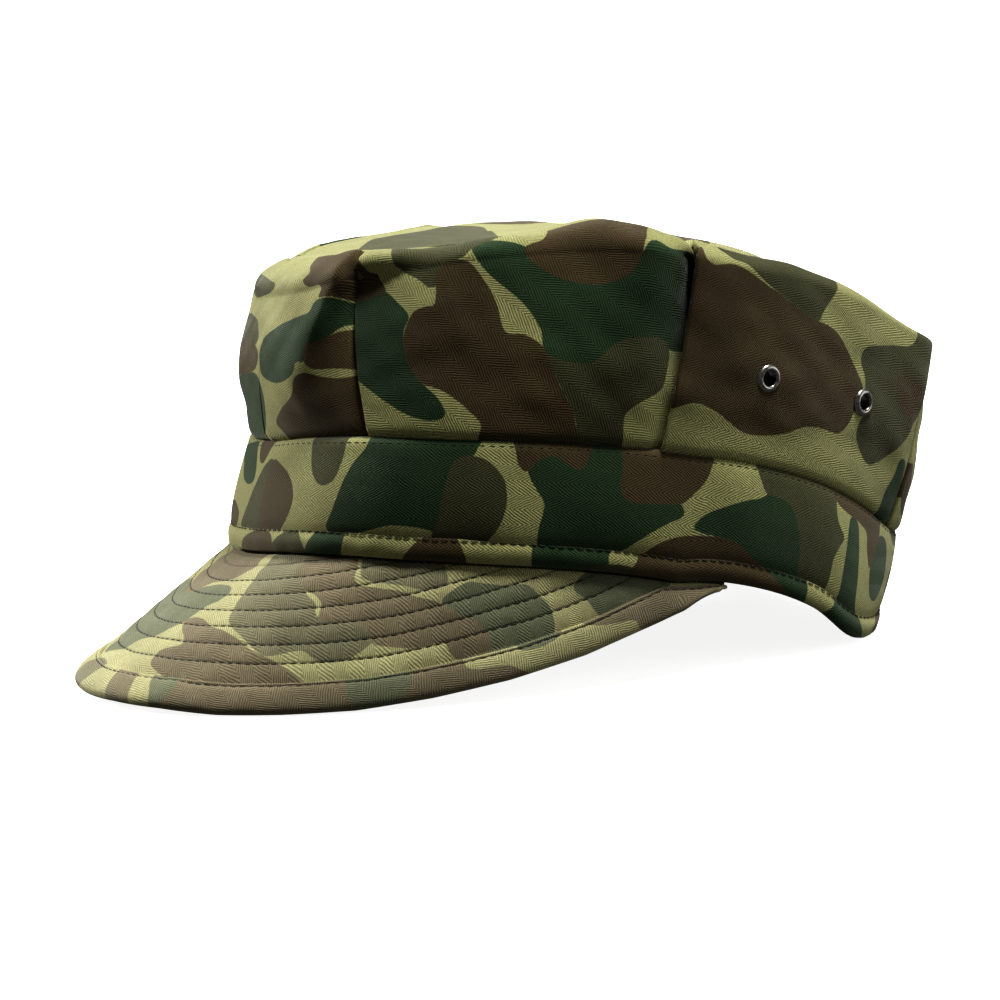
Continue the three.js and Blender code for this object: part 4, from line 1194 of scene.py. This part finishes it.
along = visor_along[:, None]
width = visor_width(visor_along)[:, None]
share = np.linspace(0, 1, PLATE_ROWS)[None]
reach = np.minimum(plate_share(visor_along)[:, None] + 2.0 / width, 0.97)
out = share * reach
along_grid = along + np.zeros_like(out)
face = visor_face(along_grid, out)
face_normal = visor_normal(along_grid, out)
from_edge = (1 - out) * width
edge_s = np.interp(along_grid, fine_along, EDGE_LENGTHS)
row_depth = from_edge + wander(face)
press = ROW_PUFF * (puff_at(row_depth) - 0.5) * smoothstep(width / 25)
soft = creases("visor", face) * VISOR_SOFT
upper = face - face_normal * sunk_cloth(along_grid)[..., None] + face_normal * (soft + press)[..., None]
lower = face - face_normal * (BINDING_PROUD + VISOR_THICK * thinning(along_grid))[..., None]
lower = lower - face_normal * (press * 0.7)[..., None]


def lip(along, depth_mm, height_mm):
    """A point of the seam lip, behind the hem."""
    foot, rise, normal = band_foot(visor_station(along))
    return foot + rise * np.asarray(height_mm)[..., None] - normal * depth_mm


def all_round(face_values, on_lip=None, on_edge=None):
    """Values for the folded sheet: two on the lip, the upper face, its edge, the lower face, the lip."""
    first = face_values[:, :1] if on_lip is None else on_lip
    last = face_values[:, -1:] if on_edge is None else on_edge
    return np.concatenate([first, first, face_values, last, face_values[:, ::-1], first, first, first], 1)


near = HEM_THICK + LIP["clear"]
outer_top = lip(visor_along, near, np.full_like(visor_along, LIP["rise"]))[:, None]
outer_foot = lip(visor_along, near, np.full_like(visor_along, -GAP - BINDING_PROUD))[:, None]
below = -GAP - BINDING_PROUD - VISOR_THICK * thinning(visor_along)
inner_foot = lip(visor_along, near + LIP["thick"], below)[:, None]
inner_top = lip(visor_along, near + LIP["thick"], np.full_like(visor_along, LIP["rise"]))[:, None]
edge_round = upper[:, -1:] * 0.5 + lower[:, -1:] * 0.5 + (face[:, -1:] - face[:, -2:-1]) * 0.4
plate = np.concatenate([outer_top, outer_foot, upper, edge_round, lower[:, ::-1],
                        inner_foot, inner_top, outer_top], 1)
visor, column, row = lay_cloth("visor_cloth", on_table(plate), visor_cloth, visor_reverse)
print_cloth(visor, column, row, printed(VISOR_CHART, all_round(edge_s), all_round(from_edge)))
write_corners(visor, column, row, "UVMap", flat_on_visor(all_round(face)) * MM)
no_row = np.full_like(row_depth[:, :1], NO_ROW)
write_corners(visor, column, row, "row_depth", all_round(row_depth, no_row, no_row))
finish_cloth(visor, "visor")
visor_area = grid_area(face)


# %% [markdown]
# ## The visor's binding
# A bias strip wraps the visor's edge: a soft rounded U, sewn through close to its inner edges.

# %% Lay the binding round the edge
# the share of the strip's width and the depth in mm below the visor's face, from its upper inner
# edge round to its lower one
BINDING_PROFILE = [
    (1.0, 1.1), (1.0, 0.6), (0.985, 0.25), (0.955, 0.1), (0.915, 0.2), (0.885, 0.4), (0.855, 0.2),
    (0.79, -0.05), (0.67, -0.2), (0.52, -0.25), (0.37, -0.2), (0.24, -0.05), (0.14, 0.22), (0.06, 0.65),
    (0.015, 1.2), (0.0, 1.9), (0.015, 2.6), (0.06, 3.15), (0.14, 3.55), (0.3, 3.75), (0.55, 3.8),
    (0.8, 3.75), (0.95, 3.6), (1.0, 3.2),
]
wide = ((1 - plate_share(visor_along)) * visor_width(visor_along))[:, None]
rows = []
for across, depth_mm in BINDING_PROFILE:
    out = 1 - across * wide[:, 0] / visor_width(visor_along)
    deep = (depth_mm * thinning(visor_along))[:, None]
    rows.append(visor_face(visor_along, out) - visor_normal(visor_along, out) * deep)
binding_place = np.stack(rows, 1)
bind_s = np.interp(visor_along, fine_along, EDGE_LENGTHS)[:, None] + np.zeros(len(BINDING_PROFILE))
bind_t = np.array([p[0] for p in BINDING_PROFILE])[None] * wide
puckered = np.array([1.0 if d < 1.2 and 0.05 < a < 0.9 else 0.0 for a, d in BINDING_PROFILE])
binding_place[..., 2] += creases("binding", binding_place) * puckered
binding_place = on_table(binding_place)
binding, column, row = lay_cloth("visor_binding_cloth", binding_place, binding_cloth, visor_reverse)
print_cloth(binding, column, row, printed(BINDING_CHART, bind_s, bind_t))
bias = math.radians(38)
bind_path = lengths_along(binding_place, 1)
bind_uv = np.stack([bind_s * math.cos(bias) + bind_path * math.sin(bias),
                    -bind_s * math.sin(bias) + bind_path * math.cos(bias)], -1)
write_corners(binding, column, row, "UVMap", bind_uv * MM)
finish_cloth(binding, "visor_binding", FOLDED_THICK)
binding_area = grid_area(binding_place)


# %% [markdown]
# ## Vent eyelets
# Two eyelets vent the crown on either side. Each is a thin dark metal tube whose outer end is rolled
# over into a rounded flange, with a flat washer inside. Its section is drawn once and spun round,
# which is how the real one is formed, and the cloth gets a round hole under the flange.

# %% Cut the holes and spin the eyelets
# the station and the share of the wall's height of each eyelet
EYELETS = dict(eyelet_front_left=(7.2, 0.46), eyelet_rear_left=(8.8, 0.5),
               eyelet_front_right=(18.8, 0.46), eyelet_rear_right=(17.2, 0.5))
# radius, and height above the cloth
EYELET_SECTION = [
    (2.1, -2.2), (2.1, -1.0), (2.12, 0.3), (2.22, 0.62), (2.45, 0.88), (2.8, 1.0), (3.2, 0.98),
    (3.6, 0.8), (3.9, 0.5), (4.08, 0.18), (4.1, -0.05), (3.6, -0.1), (3.0, -0.12), (2.5, -0.3),
    (2.5, -1.7), (3.7, -1.75), (3.85, -1.95), (3.7, -2.15), (2.6, -2.2),
]
# faces within the first radius go, and the hole's edge is drawn to the second
HOLE_CUT, HOLE_EDGE = 3.0, 3.1
WALL_REACH = 4


def on_wall(station, rise):
    """A point of the crown's wall away from its pleats."""
    return wall_point(np.array([station]), np.array([rise]), np.zeros(1, int), np.zeros(1))[0]


def eyelet_place(station, rise):
    """The middle of an eyelet on the cloth, its outward axis and two axes across, in mm."""
    along = on_wall(station + 0.12, rise) - on_wall(station - 0.12, rise)
    rising = on_wall(station, rise + 0.07) - on_wall(station, rise - 0.07)
    axis = unit(np.cross(along, rising))
    across = unit(along)
    return on_wall(station, rise), axis, across, np.cross(axis, across)


DARK_METAL, RUBBED_METAL = (0.20, 0.19, 0.17), (0.52, 0.50, 0.46)
gunmetal, tree, metal = new_material("dark plated metal")
worn = noise(tree, node(tree, "ShaderNodeTexCoord").outputs["Object"], 900.0, 3.0)
rubbed = node(tree, "ShaderNodeNewGeometry").outputs["Pointiness"]
bright = ranged(tree, rubbed, 0.5, 0.56, 0.0, 0.5)
patchy = maths(tree, "ADD", bright, ranged(tree, worn, 0.35, 0.75, 0.0, 0.35))
tree.links.new(blend_colour(tree, patchy, DARK_METAL, RUBBED_METAL), metal.inputs["Base Color"])
tree.links.new(ranged(tree, worn, 0.3, 0.7, 0.24, 0.42), metal.inputs["Roughness"])
metal.inputs["Metallic"].default_value = 1.0
scratches = node(tree, "ShaderNodeBump", Strength=0.15, Distance=0.00005, Height=worn)
tree.links.new(scratches.outputs[0], metal.inputs["Normal"])


def spin_eyelet(name, station, rise):
    middle, axis, across, other = eyelet_place(station, rise)
    bpy.ops.object.select_all(action="DESELECT")
    bpy.ops.mesh.primitive_circle_add(vertices=len(EYELET_SECTION), radius=0.001)
    piece = bpy.context.object
    piece.name = piece.data.name = name + "_ring"
    for vertex, (radius, height) in zip(piece.data.vertices, EYELET_SECTION):
        vertex.co = (radius * MM, 0, height * MM)
    bpy.ops.object.mode_set(mode="EDIT")
    bpy.ops.mesh.select_all(action="SELECT")
    bpy.ops.mesh.spin(steps=36, angle=2 * math.pi, center=(0, 0, 0), axis=(0, 0, 1))
    bpy.ops.mesh.select_all(action="SELECT")
    bpy.ops.mesh.remove_doubles(threshold=0.000005)
    bpy.ops.mesh.normals_make_consistent(inside=False)
    bpy.ops.object.mode_set(mode="OBJECT")
    turn_to_wall = Matrix((across, other, axis)).transposed().to_4x4()
    piece.data.transform(Matrix.Translation(Vector(middle * MM)) @ turn_to_wall)
    piece.data.materials.append(gunmetal)
    only(piece)
    bpy.ops.object.shade_smooth_by_angle(angle=math.radians(50))
    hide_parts(name)
    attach(piece, "root")
    return middle, axis


def cut_hole(piece, middle, axis):
    """Opens a round hole through both faces of the cloth, under an eyelet's flange."""
    work = bmesh.new()
    work.from_mesh(piece.data)
    centre, way = Vector(middle * MM), Vector(axis)

    def from_axis(co):
        """How far along the eyelet's axis a point is, and the way to it from the axis."""
        along = (co - centre).dot(way)
        return along, co - centre - way * along

    gone = []
    for face in work.faces:
        along, away = from_axis(face.calc_center_median())
        if away.length < HOLE_CUT * MM and abs(along) < WALL_REACH * MM:
            gone.append(face)
    rim = {v for f in gone for v in f.verts}
    bmesh.ops.delete(work, geom=gone, context="FACES")
    for vertex in [v for v in rim if v.is_valid]:
        along, away = from_axis(vertex.co)
        vertex.co = centre + way * along + away.normalized() * HOLE_EDGE * MM
    work.to_mesh(piece.data)
    work.free()


for name, (at_station, at_rise) in EYELETS.items():
    middle, axis = spin_eyelet(name, at_station, at_rise)
    cut_hole(crown_side, middle, axis)


# %% [markdown]
# ## Stitching
# The hem, the band's upper edge, the visor's rows and the binding are sewn with a dark thread. Each
# stitch is a short thread that dives into the cloth at both ends. One is modelled, and the
# others are copies of it set end to end along the seam line, as the machine set them.

# %% Model one stitch
# a stitch's length, the step from one to the next and the thread's thickness, in mm
STITCH_LONG, STITCH_STEP, THREAD = 2.25, 2.7, 0.36
bpy.ops.object.select_all(action="DESELECT")
bpy.ops.mesh.primitive_uv_sphere_add(segments=6, ring_count=7, radius=0.5)
stitch = bpy.context.object
bpy.ops.object.mode_set(mode="EDIT")
bpy.ops.mesh.select_all(action="SELECT")
bpy.ops.transform.rotate(value=math.pi / 2, orient_axis="Y", center_override=(0, 0, 0))
bpy.ops.object.mode_set(mode="OBJECT")
STITCH_POINTS = np.array([v.co for v in stitch.data.vertices])
STITCH_FACES = [tuple(f.vertices) for f in stitch.data.polygons]
bpy.data.objects.remove(stitch)
# the middle of the thread is nearly even in thickness, and its ends turn down into the cloth
end_share = np.abs(STITCH_POINTS[:, 0]) * 2
fuller = 1 + 0.25 * end_share ** 2 * (1 - end_share)
STITCH_POINTS[:, 1:] *= fuller[:, None]
print("a stitch has", len(STITCH_FACES), "faces")

thread, tree, fibre = new_material("dark thread")
place = node(tree, "ShaderNodeTexCoord").outputs["Object"]
twist = node(tree, "ShaderNodeTexWave", i0=place, Scale=900.0, Distortion=2.0).outputs["Fac"]
tint = blend_colour(tree, twist, (0.020, 0.020, 0.012), (0.060, 0.056, 0.034))
tree.links.new(tint, fibre.inputs["Base Color"])
plied = node(tree, "ShaderNodeBump", Strength=0.4, Distance=0.00005, Height=twist)
tree.links.new(plied.outputs[0], fibre.inputs["Normal"])
fibre.inputs["Roughness"].default_value = 0.75


def sew(name, lines, sunk=0.0):
    """Sets stitches end to end along lines. A line is its points and its outward normals, in mm."""
    dice = np.random.default_rng(len(name))
    placed = []
    for line, normals in lines:
        steps = np.linalg.norm(np.diff(line, axis=0), axis=1)
        reach = np.concatenate([[0], np.cumsum(steps)])
        count = int(reach[-1] / STITCH_STEP)
        middles = (np.arange(count) + 0.5) * STITCH_STEP + dice.uniform(-0.12, 0.12, count)

        def at(rows, where):
            return np.stack([np.interp(where, reach, rows[:, k]) for k in range(3)], -1)
        centre, up_way = at(line, middles), unit(at(normals, middles))
        forward = unit(at(line, middles + 0.6) - at(line, middles - 0.6))
        across = unit(np.cross(up_way, forward))
        forward = forward + across * dice.uniform(-0.05, 0.05, count)[:, None]
        x = STITCH_POINTS[:, 0] * STITCH_LONG
        y = STITCH_POINTS[:, 1] * THREAD
        # flattened a little, with both ends diving into the cloth
        z = STITCH_POINTS[:, 2] * THREAD * 0.8 - 0.10 * (STITCH_POINTS[:, 0] * 2) ** 4 * 2
        z = z - sunk + THREAD * 0.4
        placed.append(centre[:, None] + forward[:, None] * x[:, None] + across[:, None] * y[:, None]
                      + up_way[:, None] * z[:, None])
    all_points = np.concatenate(placed)
    faces = [tuple(v + k * len(STITCH_POINTS) for v in face)
             for k in range(len(all_points)) for face in STITCH_FACES]
    mesh = bpy.data.meshes.new(name)
    mesh.from_pydata((all_points.reshape(-1, 3) * MM).tolist(), [], faces)
    mesh.update()
    piece = bpy.data.objects.new(name, mesh)
    bpy.context.scene.collection.objects.link(piece)
    mesh.materials.append(thread)
    only(piece)
    bpy.ops.object.shade_smooth()
    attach(piece, "root")
    print(name, len(all_points), "stitches")
    return piece


# %% Sew the band and the hem
# the height of the hem's row and its depth in the hem's face, and how far the band's row is below the seam
HEM_SEWN_AT, HEM_SEWN_DEEP, BAND_SEWN_BELOW = 6.35, 0.12, 1.6
ring = np.linspace(0, STATIONS_ROUND, 900)
foot, rise, out = band_foot(ring)
hem_line = foot + rise * HEM_SEWN_AT - out * HEM_SEWN_DEEP
hem_stitches = sew("hem_stitches", [(hem_line, out)])
length = band_height(ring)
top_up = 1 - BAND_SEWN_BELOW / length
band_out = normal_of(band_line, ring, top_up)
top_t = top_up * length
wavy = creases("band", band_line(ring, top_up)) * smoothstep((length - top_t) / 6)
top_depth = HEM_PROUD + 0.9 * np.exp(-(length - top_t) / 0.9) - wavy
band_row = band_line(ring, top_up) - band_out * top_depth[:, None]
band_stitches = sew("band_stitches", [(band_row, band_out)], 0.19)

# %% Sew the visor's rows and its binding
rows = []
fine_width = visor_width(fine_along)
for number in range(ROW_COUNT):
    depth_mm = FIRST_ROW + ROW_STEP * number
    inside = fine_along[(fine_width > depth_mm + 1.6)]
    row_width = visor_width(inside)
    row_out = 1 - depth_mm / row_width
    row_out = row_out + wander(visor_face(inside, row_out)) / row_width
    row_normal = visor_normal(inside, row_out)
    row_face = visor_face(inside, row_out)
    low = -sunk_cloth(inside) + creases("visor", row_face) * VISOR_SOFT
    low = low - ROW_PUFF * 0.5 * smoothstep(row_width / 25)
    rows.append((row_face + row_normal * low[:, None], row_normal))
visor_stitches = sew("visor_stitches", rows, 0.05)
bound = np.linspace(-BINDING_END, BINDING_END, 900)
bound_out = 1 - 0.885 * (1 - plate_share(bound))
bound_normal = visor_normal(bound, bound_out)
bound_line = visor_face(bound, bound_out) - bound_normal * (0.40 * thinning(bound))[:, None]
binding_stitches = sew("binding_stitches", [(bound_line, bound_normal)], 0.05)


# %% [markdown]
# ## Camera, floor and light
# The cap is seen from its front left, a little above, on a plain pale floor. Three soft lights stand
# far away: the key light before the cap's front, an overhead light, and a weak one behind. So the
# front, the visor and the top are bright, and the side nearest the camera lies in shade, which
# shows its folds. The world fills that shade a little, and looks white to the camera.

# %% Camera at the photograph's angle
CAMERA = dict(turn=65, rise=8, roll=-2.8, away=0.95, target=(0, 0.0203, 0.050), lens=112.9,
              shift=(-0.056, -0.030))
turn_to, rise_to, roll_by = (math.radians(CAMERA[k]) for k in ("turn", "rise", "roll"))
level_reach = math.cos(rise_to)
back = Vector((math.sin(turn_to) * level_reach, -math.cos(turn_to) * level_reach, math.sin(rise_to)))
level = Vector((math.cos(turn_to), math.sin(turn_to), 0))
upward = back.cross(level)
camera_x = level * math.cos(roll_by) + upward * math.sin(roll_by)
camera_y = -level * math.sin(roll_by) + upward * math.cos(roll_by)
bpy.ops.object.select_all(action="DESELECT")
bpy.ops.object.camera_add()
camera = bpy.context.object
camera.data.lens = CAMERA["lens"]
camera.data.sensor_width = 36
camera.data.shift_x, camera.data.shift_y = CAMERA["shift"]
turned = Matrix((camera_x, camera_y, back)).transposed().to_4x4()
camera.matrix_world = Matrix.Translation(Vector(CAMERA["target"]) + back * CAMERA["away"]) @ turned
bpy.context.scene.camera = camera
print("camera at", [round(v, 3) for v in camera.matrix_world.translation])

# %% Floor and lights
bpy.ops.object.select_all(action="DESELECT")
bpy.ops.mesh.primitive_plane_add(size=60, location=(0, 0, -0.0002))
floor = bpy.context.object
floor.name = "floor"
paper, tree, surface = new_material("pale floor")
mottle = noise(tree, node(tree, "ShaderNodeTexCoord").outputs["Object"], 6.0, 2.0)
tree.links.new(ranged(tree, mottle, 0.3, 0.7, 0.86, 0.885), surface.inputs["Base Color"])
surface.inputs["Roughness"].default_value = 0.9
# the floor glows a little, so that the cap's shadow on it stays pale
surface.inputs["Emission Color"].default_value = (1.0, 1.0, 1.0, 1.0)
surface.inputs["Emission Strength"].default_value = 0.62
floor.data.materials.append(paper)
# a white floor would throw light up the side that lies in shade
floor.visible_diffuse = False
floor.visible_glossy = False


def sun(name, toward, strength, soft_degrees, colour):
    """A soft light from far away. toward is the way from the cap to the light."""
    bpy.ops.object.light_add(type="SUN")
    light = bpy.context.object
    light.name = name
    light.data.energy = strength
    light.data.angle = math.radians(soft_degrees)
    light.data.color = colour
    light.rotation_euler = Vector(toward).to_track_quat("Z", "Y").to_euler()
    return light


# the world's light on the cap, and what the camera sees of it
FILL, BACKGROUND = 0.095, 1.0
sun("key light", (-0.85, -0.62, 0.45), 2.5, 16, (1.0, 0.985, 0.95))
sun("overhead light", (0.22, 0.19, 1.0), 3.0, 16, (1.0, 1.0, 1.0))
sun("back light", (0.50, 0.90, 0.20), 0.65, 40, (1.0, 1.0, 1.0))
world = bpy.context.scene.world or bpy.data.worlds.new("studio")
bpy.context.scene.world = world
world.use_nodes = True
tree = world.node_tree
seen = node(tree, "ShaderNodeLightPath")
glow = ranged(tree, seen.outputs["Is Camera Ray"], 0.0, 1.0, FILL, BACKGROUND, smooth=False)
tree.nodes["Background"].inputs[0].default_value = (1, 1, 1, 1)
tree.links.new(glow, tree.nodes["Background"].inputs[1])
bpy.context.scene.view_settings.view_transform = "Standard"
bpy.context.scene.view_settings.look = "High Contrast"


# %% [markdown]
# ## Sizes, and the last line
# Each sheet's area, as laid on the cap, is printed.

areas = (crown_area, top_area, band_area, hem_area, visor_area, binding_area)
print("areas in square cm:", [round(area * 1e4) for area in areas])
